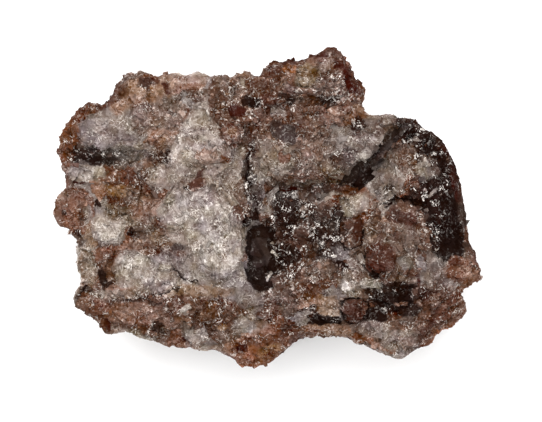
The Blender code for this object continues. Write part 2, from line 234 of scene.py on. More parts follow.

# The mineral of the rim at each of these bearings, in degrees from +X. Frost, and ember in part, are
# painted light there: lighter than the rim's own minerals, for steep faces that the lamps reach less.
RIM_MINERALS = [
    (0, "pitch"), (5, "oxblood"), (9, "pitch"), (14, "pitch"), (19, "oxblood"), (22, "pitch"),
    (31, "oxblood"), (36, "pearl"), (43, "fawn"), (49, "ember"), (54, "oxblood"), (62, "rust"),
    (68, "oxblood"), (73, "oxblood"), (79, "oxblood"), (85, "oxblood"), (91, "umber"), (96, "umber"),
    (102, "fawn"), (107, "umber"), (112, "umber"), (118, "frost"), (123, "frost"), (127, "fawn"),
    (132, "umber"), (138, "umber"), (142, "oxblood"), (147, "oxblood"), (151, "umber"), (156, "rust"),
    (163, "rust"), (169, "oxblood"), (175, "fawn"), (181, "umber"), (186, "oxblood"), (192, "frost"),
    (199, "frost"), (205, "pearl"), (211, "umber"), (216, "rust"), (222, "chalk"), (229, "chalk"),
    (235, "rust"), (241, "fawn"), (246, "frost"), (251, "pearl"), (257, "rust"), (264, "ember"),
    (271, "rust"), (277, "oxblood"), (284, "rust"), (291, "umber"), (297, "umber"), (305, "frost"),
    (312, "pearl"), (318, "oxblood"), (324, "ember"), (330, "rust"), (336, "rust"), (342, "rust"),
    (346, "oxblood"), (350, "pitch"), (355, "pitch"),
]

# Crystals and patches on top, laid down in this order, each over the ones before it: mineral,
# centre x and y, half length, half width, turn of the length from +X in degrees, how firmly it covers
# what lies under it, and the width over which its edge fades, all in millimetres.
CRYSTALS = [
    # the north west: a grey shelf behind a brown rim, over a dark slot
    ("rust", -50.0, 15.0, 8.0, 2.6, 82, 0.9, 0.8),
    ("ember", -51.2, 14.0, 6.5, 1.4, 82, 0.25, 0.6),
    ("umber", -49.6, 18.0, 2.6, 1.2, 60, 0.5, 0.6),
    ("lilac", -37.5, 20.0, 9.0, 5.4, 16, 0.9, 1.0),
    ("pearl", -36.5, 21.5, 7.0, 2.6, 16, 0.5, 1.0),
    ("ash", -38.5, 18.2, 4.0, 1.6, 8, 0.3, 0.8),
    ("fawn", -31.5, 29.0, 8.5, 3.8, 22, 0.9, 1.0),
    ("ochre", -34.0, 30.4, 3.0, 1.2, 20, 0.4, 0.8),
    ("umber", -29.7, 31.0, 2.2, 1.7, 0, 0.95, 0.6),
    ("oxblood", -29.7, 31.0, 2.0, 1.5, 0, 0.4, 0.6),
    ("pitch", -29.9, 30.9, 1.8, 1.3, 20, 0.45, 0.6),
    ("umber", -40.0, 27.0, 5.5, 1.6, 40, 0.9, 0.8),
    ("oxblood", -38.6, 27.2, 4.6, 1.7, 36, 0.55, 0.8),
    ("oxblood", -25.2, 30.2, 1.5, 0.7, 90, 0.9, 0.3),
    ("fawn", -19.8, 31.2, 5.0, 2.6, 8, 0.95, 0.6),
    ("frost", -18.8, 31.8, 3.6, 1.2, 8, 0.35, 0.6),
    ("umber", -31.0, 22.0, 3.0, 3.5, 0, 0.6, 1.0),
    ("fawn", -24.8, 20.0, 4.6, 4.6, 0, 0.35, 1.2),
    ("ash", -25.0, 22.0, 3.6, 3.0, 0, 0.5, 1.0),
    ("pearl", -33.0, 14.2, 5.5, 2.4, -5, 0.9, 1.0),
    # The soot and pitch along the slot are partly dark minerals and partly painted shade under the shelf's
    # overhang.
    ("soot", -42.2, 12.8, 6.6, 2.2, -3, 0.8, 0.8),
    ("pitch", -42.4, 12.0, 5.8, 1.2, -3, 0.8, 0.6),
    ("pepper", -27.3, 12.2, 3.7, 2.1, 0, 0.6, 0.7),
    ("slate", -26.6, 11.8, 2.6, 1.6, 0, 0.8, 0.7),
    ("soot", -24.6, 12.4, 0.8, 1.6, 0, 0.9, 0.3),
    ("chalk", -44.6, 8.6, 4.8, 1.9, -3, 0.8, 0.7),
    ("umber", -31.5, 6.5, 9.0, 4.5, -8, 0.55, 1.5),
    ("rust", -34.6, 7.8, 2.2, 2.0, 0, 0.9, 0.6),
    ("clay", -34.6, 7.8, 2.0, 1.8, 0, 0.55, 0.6),
    ("ochre", -37.2, 4.2, 3.2, 1.5, 0, 0.8, 0.6),
    ("pearl", -25.5, 7.2, 4.0, 3.2, 0, 0.7, 1.0),
    ("pearl", -16.0, 17.0, 10.5, 6.0, 62, 0.85, 0.8),
    ("chalk", -18.0, 18.0, 8.0, 2.8, 66, 0.45, 0.8),
    # Painted highlight: the chalk along the bright standing edge.
    ("chalk", -22.2, 14.6, 4.2, 0.7, 66, 0.6, 0.3),
    ("fawn", -15.0, 12.8, 2.5, 1.8, 10, 0.8, 0.6),
    ("ash", -15.0, 8.5, 5.5, 3.5, 0, 0.6, 1.2),
    ("oxblood", -16.2, 8.2, 1.5, 1.2, 20, 0.85, 0.4),
    ("umber", -9.2, 27.0, 7.0, 5.2, 84, 0.9, 1.0),
    ("pepper", -6.5, 27.4, 3.0, 3.2, 0, 0.4, 0.8),
    ("umber", -0.5, 22.0, 5.0, 7.0, 0, 0.7, 1.2),
    ("oxblood", -7.2, 23.2, 2.2, 1.4, 0, 0.95, 0.4),
    ("umber", -8.6, 18.2, 2.6, 2.6, 0, 0.9, 0.4),
    ("rust", -8.8, 18.6, 1.9, 1.7, 20, 0.6, 0.5),
    ("ochre", -8.2, 18.2, 1.2, 1.0, 20, 0.5, 0.5),
    ("pearl", -8.8, 13.6, 2.6, 1.3, 0, 0.7, 0.5),
    ("pearl", -12.0, 6.5, 4.0, 4.0, 0, 0.6, 1.2),
    # the middle of the north: pale and green-grey, with a black vein down its west side
    ("umber", -0.2, 25.2, 3.0, 2.1, 0, 0.9, 0.6),
    ("oxblood", -0.2, 25.2, 2.6, 1.7, 0, 0.3, 0.8),
    ("plum", 4.8, 19.2, 3.9, 3.2, -30, 0.95, 0.6),
    ("pearl", 0.5, 11.5, 6.5, 5.0, 0, 0.45, 1.4),
    ("moss", 2.5, 11.0, 4.5, 3.5, 20, 0.55, 1.0),
    ("rust", 4.8, 13.0, 1.4, 1.5, 0, 0.9, 0.5),
    ("oxblood", 4.8, 13.0, 1.4, 1.5, 0, 0.3, 0.5),
    ("ochre", -16.8, 4.3, 1.7, 1.1, 0, 0.8, 0.5),
    # the horn
    ("umber", 12.0, 30.0, 12.5, 8.0, 22, 0.85, 1.2),
    ("fawn", 12.0, 31.0, 9.0, 5.0, 22, 0.55, 1.6),
    ("umber", -2.2, 30.2, 3.6, 2.8, 0, 0.7, 0.9),
    ("oxblood", -2.2, 30.8, 2.6, 1.6, 0, 0.45, 0.7),
    ("pearl", -6.2, 31.4, 0.6, 1.9, 20, 0.8, 0.4),
    ("oxblood", 3.0, 35.0, 2.4, 1.6, 20, 0.5, 0.6),
    ("ember", 5.8, 34.6, 1.8, 1.0, -10, 0.9, 0.4),
    ("moss", 10.2, 32.5, 2.8, 3.0, -20, 0.85, 0.7),
    ("ochre", 10.4, 33.8, 1.8, 1.5, -20, 0.45, 0.7),
    ("pepper", 16.2, 29.8, 4.4, 4.6, -30, 0.9, 0.8),
    ("pearl", 15.2, 35.8, 3.0, 1.3, 30, 0.5, 0.8),
    ("oxblood", 15.5, 39.2, 4.0, 1.1, 25, 0.9, 0.6),
    ("pepper", 6.0, 28.8, 3.4, 1.8, -20, 0.9, 0.7),
    ("soot", 5.0, 27.2, 2.2, 1.3, -20, 0.8, 0.6),
    ("oxblood", 0.6, 26.2, 2.4, 1.7, -30, 0.55, 0.8),
    ("soot", -3.6, 25.8, 2.3, 1.6, -20, 0.95, 0.7),
    ("pitch", -3.4, 25.6, 1.8, 1.1, -20, 0.6, 0.7),
    ("pearl", 2.8, 23.8, 1.9, 1.6, 0, 0.85, 0.6),
    ("oxblood", 21.6, 31.8, 2.5, 3.6, 20, 1.0, 0.6),
    ("oxblood", 18.9, 37.0, 1.7, 2.4, -10, 0.9, 0.5),
    # The oxblood and soot along the horn's lower edge are partly painted shade of the crevice under it.
    ("oxblood", 11.0, 26.0, 3.4, 0.9, 2, 0.4, 0.6),
    ("soot", 15.6, 26.0, 2.4, 1.2, 8, 0.7, 0.6),
    ("soot", 19.6, 24.6, 2.0, 1.2, 10, 0.6, 0.6),
    # the long slab and its crevice
    ("umber", 11.0, 22.0, 4.6, 3.4, 2, 0.7, 1.0),
    ("fawn", 19.2, 22.8, 5.4, 2.8, 2, 0.7, 1.0),
    ("umber", 9.6, 23.4, 2.0, 1.3, 0, 0.6, 0.7),
    ("oxblood", 8.6, 20.6, 1.8, 1.6, 0, 0.4, 0.8),
    ("umber", 11.5, 19.0, 3.4, 2.2, 0, 0.9, 0.5),
    ("umber", 16.2, 12.0, 2.0, 1.4, 0, 0.6, 0.6),
    ("ash", 14.0, 12.5, 7.5, 5.0, 10, 0.6, 1.4),
    ("lilac", 25.0, 17.0, 8.2, 4.8, 36, 0.85, 0.8),
    ("slate", 22.5, 20.2, 1.6, 2.1, -20, 0.9, 0.4),
    ("ash", 29.5, 20.5, 3.0, 2.0, 30, 0.6, 0.8),
    # Painted glints: these two chalk spots.
    ("chalk", 21.0, 16.0, 1.6, 1.1, 10, 0.5, 0.4),
    ("chalk", 26.0, 16.6, 2.6, 0.9, 12, 0.4, 0.4),
    ("slate", 19.5, 11.5, 3.6, 2.6, 20, 0.7, 0.8),
    ("umber", 22.6, 17.6, 1.8, 1.0, 20, 0.4, 0.5),
    # Painted shade in the deep crevice.
    ("crevice_shade", 25.0, 8.6, 4.8, 1.9, 46, 1.0, 0.3),
    ("slate", 20.6, 6.9, 3.2, 1.4, 24, 1.0, 0.3),
    ("plum", 31.9, 18.2, 4.6, 1.3, 58, 1.0, 0.3),
    # Painted glint beside the crevice.
    ("chalk", 23.5, 12.3, 1.4, 1.1, 0, 0.4, 0.5),
    ("moss", 9.5, 6.0, 8.8, 1.2, 2, 0.7, 0.6),
    ("umber", 8.0, 7.5, 8.0, 1.0, 3, 0.7, 0.5),
    ("slate", 8.5, 5.6, 7.0, 0.9, 2, 0.35, 0.5),
    ("umber", 16.0, 4.5, 6.5, 1.1, -3, 0.9, 0.4),
    ("soot", 13.6, 4.4, 5.0, 0.9, -3, 0.4, 0.5),
    ("clay", 19.4, 4.2, 3.0, 1.3, -4, 0.5, 0.3),
    ("fawn", 19.4, 4.2, 2.8, 1.0, -4, 0.15, 0.3),
    ("pitch", 12.8, 3.2, 2.6, 1.4, 8, 0.6, 0.6),
    # the east: grey and pale above, black glassy crystals down the side
    ("soot", 40.0, 16.5, 8.0, 4.0, -38, 0.9, 0.8),
    ("ash", 35.6, 12.0, 5.8, 4.4, 0, 0.85, 0.8),
    ("lilac", 29.0, 6.4, 4.8, 4.0, 30, 0.8, 0.4),
    ("pearl", 27.6, 5.6, 3.8, 1.2, 38, 0.15, 0.4),
    ("slate", 30.5, 5.2, 1.3, 1.0, 20, 0.8, 0.3),
    # Painted shade: the dark mouth of the crevice beside it.
    ("pitch", 24.2, 7.3, 3.0, 2.3, 40, 1.0, 0.3),
    ("soot", 43.5, 4.5, 16.5, 4.6, 103, 0.95, 0.8),
    ("soot", 36.5, 20.0, 5.0, 2.2, -20, 0.9, 0.6),
    ("pitch", 42.0, 18.8, 4.4, 1.7, -48, 0.95, 0.6),
    ("soot", 40.5, 3.0, 5.0, 4.0, -40, 0.85, 0.8),
    ("soot", 45.0, -6.5, 4.6, 7.0, 10, 0.95, 0.7),
    ("pitch", 46.0, -9.0, 3.2, 5.2, 10, 0.9, 0.8),
    # Painted glints: this chalk spot.
    ("chalk", 41.6, 3.4, 1.2, 0.6, 30, 0.6, 0.4),
    ("pitch", 43.4, 7.8, 1.8, 2.6, 20, 0.8, 0.8),
    ("pitch", 45.2, 0.6, 1.8, 2.4, 0, 0.8, 0.8),
    ("pitch", 44.0, -11.8, 2.4, 2.0, 0, 0.95, 0.5),
    ("pitch", 40.2, 15.8, 1.8, 3.0, 50, 0.8, 0.6),
    ("ash", 40.4, 10.6, 2.8, 2.8, 0, 0.55, 0.8),
    ("soot", 45.4, 10.0, 2.6, 7.0, 18, 0.9, 0.8),
    ("pitch", 46.6, 8.0, 1.7, 6.5, 16, 0.9, 0.6),
    ("pitch", 47.2, -2.0, 2.4, 8.0, -6, 0.95, 0.6),
    ("pearl", 39.2, 9.0, 2.2, 2.4, 0, 0.7, 0.6),
    ("moss", 35.6, 8.0, 0.8, 1.6, 20, 0.6, 0.4),
    ("fawn", 37.2, 5.5, 0.8, 1.0, 0, 0.4, 0.4),
    ("lilac", 26.2, 1.6, 2.2, 2.4, 20, 0.3, 0.8),
    ("oxblood", 48.0, 6.0, 1.8, 5.0, 6, 0.95, 0.5),
    ("rust", 49.4, 9.6, 0.6, 1.1, 0, 0.7, 0.4),
    ("rust", 50.2, 5.6, 0.6, 0.9, 0, 0.7, 0.4),
    ("rust", 47.6, 13.4, 0.7, 0.8, 0, 0.7, 0.4),
    ("rust", 51.4, -7.4, 0.7, 1.4, 0, 0.6, 0.4),
    ("pitch", 51.0, -10.2, 1.6, 1.3, 0, 0.7, 0.5),
    # the west lobe and the pale blocks behind it
    ("rust", -48.6, -1.0, 5.2, 5.8, 0, 0.9, 0.8),
    ("fawn", -49.0, -0.5, 4.0, 4.5, 0, 0.25, 1.0),
    ("soot", -51.0, -0.8, 0.6, 0.8, 0, 0.9, 0.3),
    ("umber", -46.2, -1.8, 0.9, 3.0, 0, 0.9, 0.4),
    ("pearl", -44.6, -1.8, 0.8, 2.5, 0, 0.8, 0.4),
    ("soot", -47.8, -6.0, 0.9, 1.1, 0, 0.9, 0.3),
    ("ochre", -43.8, -7.0, 1.6, 3.0, -10, 0.75, 0.6),
    ("pearl", -39.4, -5.6, 4.3, 3.9, 0, 0.85, 0.7),
    ("chalk", -38.8, -5.8, 3.8, 3.2, 0, 0.55, 0.8),
    ("pearl", -46.2, -9.8, 1.6, 2.0, 0, 0.3, 0.8),
    ("moss", -36.0, -1.8, 4.6, 2.4, -12, 0.8, 0.8),
    ("fawn", -27.2, -1.5, 7.5, 3.0, -10, 0.8, 1.2),
    ("ash", -27.0, -6.0, 6.0, 4.0, -20, 0.65, 1.2),
    ("pearl", -26.0, -6.0, 4.0, 3.0, -20, 0.25, 1.2),
    ("umber", -25.0, -4.5, 3.0, 2.0, -20, 0.8, 0.8),
    ("rust", -40.0, -11.8, 3.2, 1.8, 10, 0.85, 0.6),
    ("umber", -31.5, -9.8, 2.8, 1.3, 0, 0.8, 0.6),
    ("fawn", -45.0, -14.8, 2.4, 5.4, 4, 0.6, 0.7),
    ("chalk", -44.8, -14.0, 2.2, 4.8, 4, 0.45, 0.7),
    ("umber", -40.0, -15.8, 2.0, 4.6, 0, 0.85, 0.7),
    ("pitch", -40.8, -18.0, 1.1, 2.2, 10, 0.9, 0.4),
    # the white shoulder, and the grey slope below it
    ("pearl", -33.5, -15.5, 4.5, 4.5, 0, 0.75, 1.0),
    ("lilac", -19.0, -17.5, 14.5, 4.6, -12, 0.9, 1.0),
    ("chalk", -19.0, -17.0, 13.0, 3.8, -12, 0.25, 1.2),
    ("pearl", -28.0, -16.5, 9.5, 4.8, -6, 0.8, 1.2),
    ("chalk", -30.0, -15.5, 5.5, 3.0, 0, 0.5, 1.0),
    ("pearl", -12.5, -17.0, 8.0, 4.0, -14, 0.6, 1.2),
    ("pearl", -15.5, -5.0, 12.0, 8.0, -52, 0.9, 1.0),
    ("chalk", -14.5, -6.5, 10.0, 6.0, -62, 0.75, 1.2),
    ("chalk", -12.2, -11.6, 4.4, 3.4, 10, 0.9, 0.8),
    ("umber", -17.2, 5.6, 2.3, 1.4, 0, 0.95, 0.6),
    ("oxblood", -17.2, 5.8, 1.9, 1.1, 0, 0.5, 0.6),
    ("soot", -19.7, 5.3, 0.8, 0.7, 0, 0.9, 0.3),
    # Painted highlights: these two chalk spots.
    ("chalk", -34.8, -14.6, 1.6, 2.4, 0, 1.0, 0.5),
    ("chalk", -29.0, -16.6, 1.3, 1.0, 0, 0.8, 0.4),
    ("lilac", -22.5, -12.5, 4.0, 3.0, 0, 0.5, 0.8),
    ("lilac", -14.0, -18.4, 9.0, 2.6, -20, 0.5, 0.8),
    ("lilac", -6.5, -20.0, 4.0, 2.0, -34, 0.6, 0.8),
    ("plum", -22.0, -10.1, 1.3, 0.9, 0, 0.9, 0.4),
    ("moss", -38.5, -21.8, 7.0, 1.1, 2, 0.7, 0.5),
    ("soot", -36.5, -23.3, 5.4, 0.5, 2, 0.6, 0.3),
    ("ochre", -17.2, -21.0, 8.3, 1.5, 0, 0.6, 0.7),
    ("soot", -46.6, -22.0, 0.9, 2.2, 0, 0.9, 0.3),
    ("rust", -42.5, -25.5, 5.5, 2.6, -30, 0.85, 0.8),
    ("fawn", -45.5, -24.0, 2.2, 1.6, -40, 0.5, 0.6),
    # the south apron and its tip
    ("fawn", -30.0, -26.8, 9.0, 2.8, -8, 0.65, 1.0),
    ("umber", -16.0, -25.2, 9.8, 2.8, -2, 0.8, 0.9),
    # Painted glint.
    ("chalk", -20.2, -25.2, 1.3, 0.7, 20, 0.9, 0.3),
    ("soot", -27.2, -29.8, 2.0, 1.2, -10, 0.85, 0.4),
    ("umber", -15.5, -30.0, 2.4, 2.2, 0, 0.85, 0.6),
    ("pearl", -17.8, -32.2, 2.5, 2.2, 20, 0.8, 0.6),
    ("rust", -22.5, -32.6, 1.6, 2.0, 0, 0.85, 0.5),
    # Painted highlight: this small ochre spot.
    ("ochre", -11.2, -29.8, 1.0, 0.7, 0, 0.9, 0.3),
    ("fawn", -12.0, -36.0, 3.2, 1.4, 10, 0.5, 0.8),
    ("oxblood", -6.2, -35.5, 1.7, 1.3, 0, 0.6, 0.4),
    ("rust", -2.0, -35.8, 7.5, 3.8, 10, 0.85, 0.8),
    ("ember", -1.0, -36.0, 5.0, 1.6, 10, 0.45, 0.8),
    ("ochre", 0.5, -35.5, 3.0, 1.3, 30, 0.6, 0.6),
    ("oxblood", -6.2, -35.5, 1.6, 1.2, 0, 0.9, 0.4),
    ("oxblood", -39.8, -29.6, 1.4, 1.8, 0, 0.9, 0.4),
    ("lilac", -4.0, -22.5, 4.0, 3.0, -30, 0.8, 0.8),
    ("pearl", -4.5, -29.0, 4.5, 2.2, 0, 0.5, 1.0),
    # the hollow and the dark field east of it
    ("soot", 11.0, -3.5, 10.0, 5.0, -10, 0.80, 1.8),
    ("soot", 10.0, -9.5, 8.5, 3.8, -6, 0.78, 1.8),
    ("slate", 13.5, -3.0, 6.0, 3.6, -10, 0.45, 1.6),
    ("umber", 9.0, -6.5, 2.6, 1.8, 30, 0.5, 0.8),
    ("umber", 4.5, -13.5, 5.0, 5.0, 0, 0.8, 1.0),
    ("soot", 4.5, -13.5, 4.4, 4.4, 0, 0.9, 1.2),
    ("pitch", 4.9, -13.8, 3.4, 3.4, 20, 0.4, 0.9),
    ("soot", 3.4, -11.0, 2.6, 3.6, 10, 0.6, 0.8),
    ("soot", -3.4, 2.4, 2.2, 4.4, 12, 0.75, 0.7),
    ("soot", -4.8, 9.4, 1.4, 3.0, 6, 0.8, 0.6),
    ("slate", -4.2, 14.4, 1.1, 1.8, -6, 0.8, 0.5),
    ("pitch", -1.6, -12.5, 3.6, 8.2, 4, 0.97, 0.4),
    ("graphite", -1.8, -11.2, 2.3, 3.6, 4, 1.0, 0.3),
    ("soot", 4.5, -0.5, 3.0, 4.4, 0, 0.8, 0.8),
    # Painted glints: these three chalk slivers at the hollow.
    ("chalk", 1.6, -11.4, 1.0, 0.5, -40, 1.0, 0.2),
    ("chalk", 0.8, -17.2, 0.4, 1.2, -20, 1.0, 0.2),
    ("chalk", 1.3, -20.4, 0.9, 0.35, 20, 1.0, 0.2),
    # Painted highlight: the chalk and moss here.
    ("chalk", 21.5, 0.8, 3.2, 2.3, 20, 0.7, 1.2),
    ("moss", 21.0, 0.6, 2.4, 1.6, 20, 0.25, 0.8),
    # the south east: brown crystals in grey
    ("ash", 31.0, -7.2, 8.0, 3.4, -6, 0.85, 0.8),
    ("ash", 24.0, -18.0, 5.0, 5.0, 0, 0.7, 1.2),
    ("umber", 8.5, -19.0, 6.0, 5.0, 20, 0.6, 1.4),
    ("ash", 13.0, -15.5, 4.0, 2.5, 10, 0.75, 1.0),
    ("umber", 21.2, -6.8, 3.0, 3.9, 10, 0.9, 0.5),
    ("soot", 20.6, -7.2, 2.2, 3.2, 10, 0.4, 0.8),
    ("amber", 22.5, -6.0, 1.4, 2.6, 0, 0.9, 0.3),
    ("umber", 34.0, -1.6, 4.5, 2.8, -8, 0.9, 0.5),
    ("oxblood", 33.6, -2.2, 3.8, 2.2, -8, 0.62, 0.9),
    ("slate", 32.6, -2.6, 2.2, 1.3, -30, 0.4, 0.7),
    ("ochre", 35.2, -0.6, 2.2, 1.1, -12, 0.25, 0.5),
    ("umber", 36.8, -1.8, 1.0, 1.8, 20, 0.6, 0.5),
    ("umber", 28.3, -13.0, 4.1, 4.1, 0, 0.95, 0.5),
    ("oxblood", 28.3, -13.0, 3.8, 3.8, 0, 0.55, 0.8),
    ("oxblood", 27.0, -15.2, 2.4, 1.6, 20, 0.35, 0.5),
    ("umber", 38.5, -11.8, 1.2, 3.9, -15, 0.85, 0.5),
    ("pitch", 40.4, -1.0, 1.5, 2.8, 10, 0.85, 0.5),
    ("lilac", 41.4, -16.6, 3.4, 5.4, 14, 0.85, 0.9),
    ("ash", 42.0, -18.5, 3.0, 3.4, 8, 0.6, 1.2),
    ("plum", 42.4, -14.6, 1.6, 1.4, 20, 0.6, 0.8),
    ("pitch", 44.6, -11.6, 2.6, 2.0, -30, 0.95, 0.4),
    ("rust", 49.0, -15.8, 4.4, 3.2, -20, 0.85, 0.7),
    ("fawn", 50.4, -16.6, 3.0, 1.2, -20, 0.6, 0.6),
    ("oxblood", 47.0, -14.0, 1.8, 1.2, 0, 0.6, 0.6),
    ("soot", 32.5, -22.6, 7.6, 4.2, -6, 0.92, 0.6),
    ("pitch", 31.4, -23.2, 4.6, 2.7, -6, 0.9, 0.8),
    ("umber", 39.5, -22.0, 3.0, 2.6, 0, 0.7, 0.8),
    ("soot", 40.0, -21.6, 2.4, 1.4, 0, 0.75, 0.8),
    ("oxblood", 40.4, -21.8, 2.2, 1.2, 0, 0.5, 0.6),
    ("fawn", 33.5, -24.7, 1.3, 0.6, 0, 0.9, 0.3),
    # Painted highlights: the chalk streaks here, with moss round the first.
    ("moss", 20.6, -19.4, 3.6, 2.6, -50, 0.7, 0.8),
    ("chalk", 20.0, -20.4, 2.9, 1.0, -50, 0.8, 0.6),
    ("chalk", 26.0, -19.2, 2.4, 1.3, 10, 0.7, 0.6),
    ("soot", 21.8, -26.0, 3.4, 3.6, 0, 0.3, 0.4),
    ("umber", 21.8, -26.0, 2.7, 2.9, 0, 1.0, 0.3),
    ("pitch", 21.4, -26.4, 2.2, 2.3, 0, 0.35, 0.5),
    ("oxblood", 21.8, -26.0, 2.4, 2.6, 0, 0.55, 0.6),
    ("ochre", 15.6, -24.6, 2.8, 3.0, 0, 0.7, 0.7),
    ("pitch", 15.0, -28.4, 3.7, 1.8, 0, 1.0, 0.4),
    ("soot", 16.4, -28.2, 1.6, 0.9, 0, 0.6, 0.5),
    ("fawn", 14.8, -30.9, 6.5, 1.4, 0, 0.85, 0.5),
    ("umber", 42.0, -27.0, 8.5, 3.8, 52, 0.85, 1.0),
    ("oxblood", 40.5, -29.0, 5.0, 1.0, 52, 0.5, 0.6),
    ("oxblood", 44.6, -25.4, 6.0, 0.8, 52, 0.6, 0.5),
    ("ash", 31.0, -29.4, 5.0, 2.4, -10, 0.7, 0.8),
    ("rust", 46.0, -24.5, 5.0, 1.4, 55, 0.6, 0.6),
    ("oxblood", 46.2, -24.2, 4.2, 0.9, 55, 0.4, 0.6),
    ("pearl", 33.5, -33.5, 4.0, 3.2, 0, 0.6, 0.9),
    ("pearl", 27.0, -30.6, 4.0, 2.2, 0, 0.5, 0.8),
    ("pitch", 27.6, -27.2, 2.8, 1.5, 0, 0.97, 0.4),
]

# How square the crystals' outlines are, where 2 is an ellipse, the share of their fades that is used, and
# how far out from their centre they are worked out, beside their longer half.
CRYSTAL_SQUARENESS = 3.2
FADE_SHARE = 0.6
CRYSTAL_SPAN = 1.5

# Cracks and crevices on top: how far out from their middle the lining is whole and the stretch over which
# it fades, in widths. Then the width, depth, mineral that lines it, and points that each runs through.
LINING, LINING_FADE = 0.25, 0.5
CRACKS = [
    # The deep crevice is lined with painted shade.
    (2.2, 1.6, "crevice_shade", [(33.8, 21.0), (29.8, 15.8), (26.6, 12.2), (22.2, 8.8), (18.3, 6.0)]),
    (0.7, 0.5, "pitch", [(-4.6, 14.0), (-5.1, 11.6), (-4.5, 9.5), (-4.8, 7.4), (-4.0, 5.6)]),
    (0.6, 0.5, "pitch", [(-3.2, 3.0), (-2.4, 1.2), (-2.9, -0.6), (-1.8, -2.6)]),
    (0.35, 0.6, "soot", [(-23.2, -14.9), (-21.6, -16.8), (-21.0, -17.9), (-19.2, -18.2), (-17.0, -18.9)]),
    (0.5, 0.5, "soot", [(28.4, 0.9), (32.2, 2.9), (36.4, 2.6), (39.6, 0.6)]),
    (0.4, 0.6, "soot", [(-32.0, -22.6), (-27.0, -21.6), (-22.5, -20.0)]),
    (0.4, 0.5, "umber", [(18.0, 6.0), (10.0, 7.2), (1.5, 6.0)]),
    (0.4, 0.4, "umber", [(40.4, -26.0), (44.6, -22.5), (47.0, -20.2)]),
    (0.4, 0.4, "umber", [(38.0, -30.0), (43.6, -26.6), (47.4, -24.4)]),
    (0.6, 0.4, "pitch", [(29.4, 0.2), (31.4, 2.0), (34.0, 2.5), (36.6, 1.8), (38.6, -0.2)]),
    (0.5, 0.4, "pitch", [(19.0, -23.0), (18.6, -26.0), (19.8, -28.8), (22.2, -29.5), (24.6, -28.0),
                         (25.0, -24.4), (23.0, -22.8), (19.0, -23.0)]),
    (0.5, 0.4, "pitch", [(24.2, -10.4), (23.9, -14.8), (26.0, -17.4), (29.6, -17.2)]),
    (0.5, 0.3, "pitch", [(18.2, -3.6), (18.0, -8.0), (20.0, -10.6), (23.4, -9.8), (24.2, -5.6)]),
    (0.5, 0.3, "umber", [(38.0, -8.0), (39.6, -10.6), (39.4, -13.6), (37.8, -15.8)]),
    (0.4, 0.3, "umber", [(-11.4, 20.4), (-10.8, 16.6), (-8.2, 15.6), (-6.2, 17.4)]),
]

# ---------------------------------------------------------------- random fields

# How far a seed may lie from the middle of its cell, in units of the cell.
SEED_STRAY = 0.45


class Lattice:
    """Seeded random numbers on a box lattice of cells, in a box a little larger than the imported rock."""

    LOW = np.array([-60.0, -47.0, -6.0])
    SPAN = np.array([120.0, 94.0, 54.0])

    def __init__(self, cell, values, rng):
        self.cell = cell
        shape = tuple(np.ceil(self.SPAN / cell).astype(int) + 4)
        self.table = rng.random(shape + (values,), dtype=np.float32) * 2.0 - 1.0

    def place(self, points):
        """The points in units of cells, split into the cell's index and the place inside it."""
        scaled = (points - self.LOW) / self.cell + 1.0
        index = np.floor(scaled).astype(int)
        return index, scaled - index


def smooth_noise(points, cell, rng, values=1):
    """Value noise: random values at the lattice corners, blended over each cell by 3t^2 - 2t^3."""
    lattice = Lattice(cell, values, rng)
    index, inside = lattice.place(points)
    ease = inside * inside * (3.0 - 2.0 * inside)
    total = np.zeros((len(points), values))
    for corner in np.ndindex(2, 2, 2):
        weight = np.prod(np.where(corner, ease, 1.0 - ease), axis=1)
        total += weight[:, None] * lattice.table[tuple((index + corner).T)]
    return total


def nearest_seed(points, cell, rng, values):
    """Splits space into cells round scattered seeds. Gives each point the random values of the seed that
    lies nearest, and the way to it from that seed in units of cells."""
    seeds = Lattice(cell, 3, rng)
    facts = Lattice(cell, values, rng)
    index, inside = seeds.place(points)
    nearest = np.full(len(points), np.inf)
    own = np.zeros((len(points), values))
    way = np.zeros((len(points), 3))
    for offset in np.ndindex(3, 3, 3):
        step = np.array(offset) - 1
        key = tuple((index + step).T)
        away = inside - (step + 0.5 + SEED_STRAY * seeds.table[key])
        distance = np.sqrt(np.einsum("ij,ij->i", away, away))
        closer = distance < nearest
        nearest = np.where(closer, distance, nearest)
        own = np.where(closer[:, None], facts.table[key], own)
        way = np.where(closer[:, None], away, way)
    return own, way


# ---------------------------------------------------------------- meshes

# Points closer than this, in metres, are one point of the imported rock.
JOIN_DISTANCE = 1e-6


def points_of(mesh):
    """The mesh's vertices as rows of x, y, z, in millimetres."""
    flat = np.empty(len(mesh.vertices) * 3)
    mesh.vertices.foreach_get("co", flat)
    return flat.reshape(-1, 3) / MM


def normals_of(mesh):
    """The mesh's vertex normals as rows of x, y, z."""
    flat = np.empty(len(mesh.vertices) * 3)
    mesh.vertex_normals.foreach_get("vector", flat)
    return flat.reshape(-1, 3)


def merged_copy(node):
    """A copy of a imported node's mesh, its loose triangles joined along their sides."""
    shell = bmesh.new()
    shell.from_mesh(node.data)
    bmesh.ops.remove_doubles(shell, verts=shell.verts[:], dist=JOIN_DISTANCE)
    mesh = bpy.data.meshes.new("merged")
    shell.to_mesh(mesh)
    shell.free()
    return mesh


# ---------------------------------------------------------------- what lies where


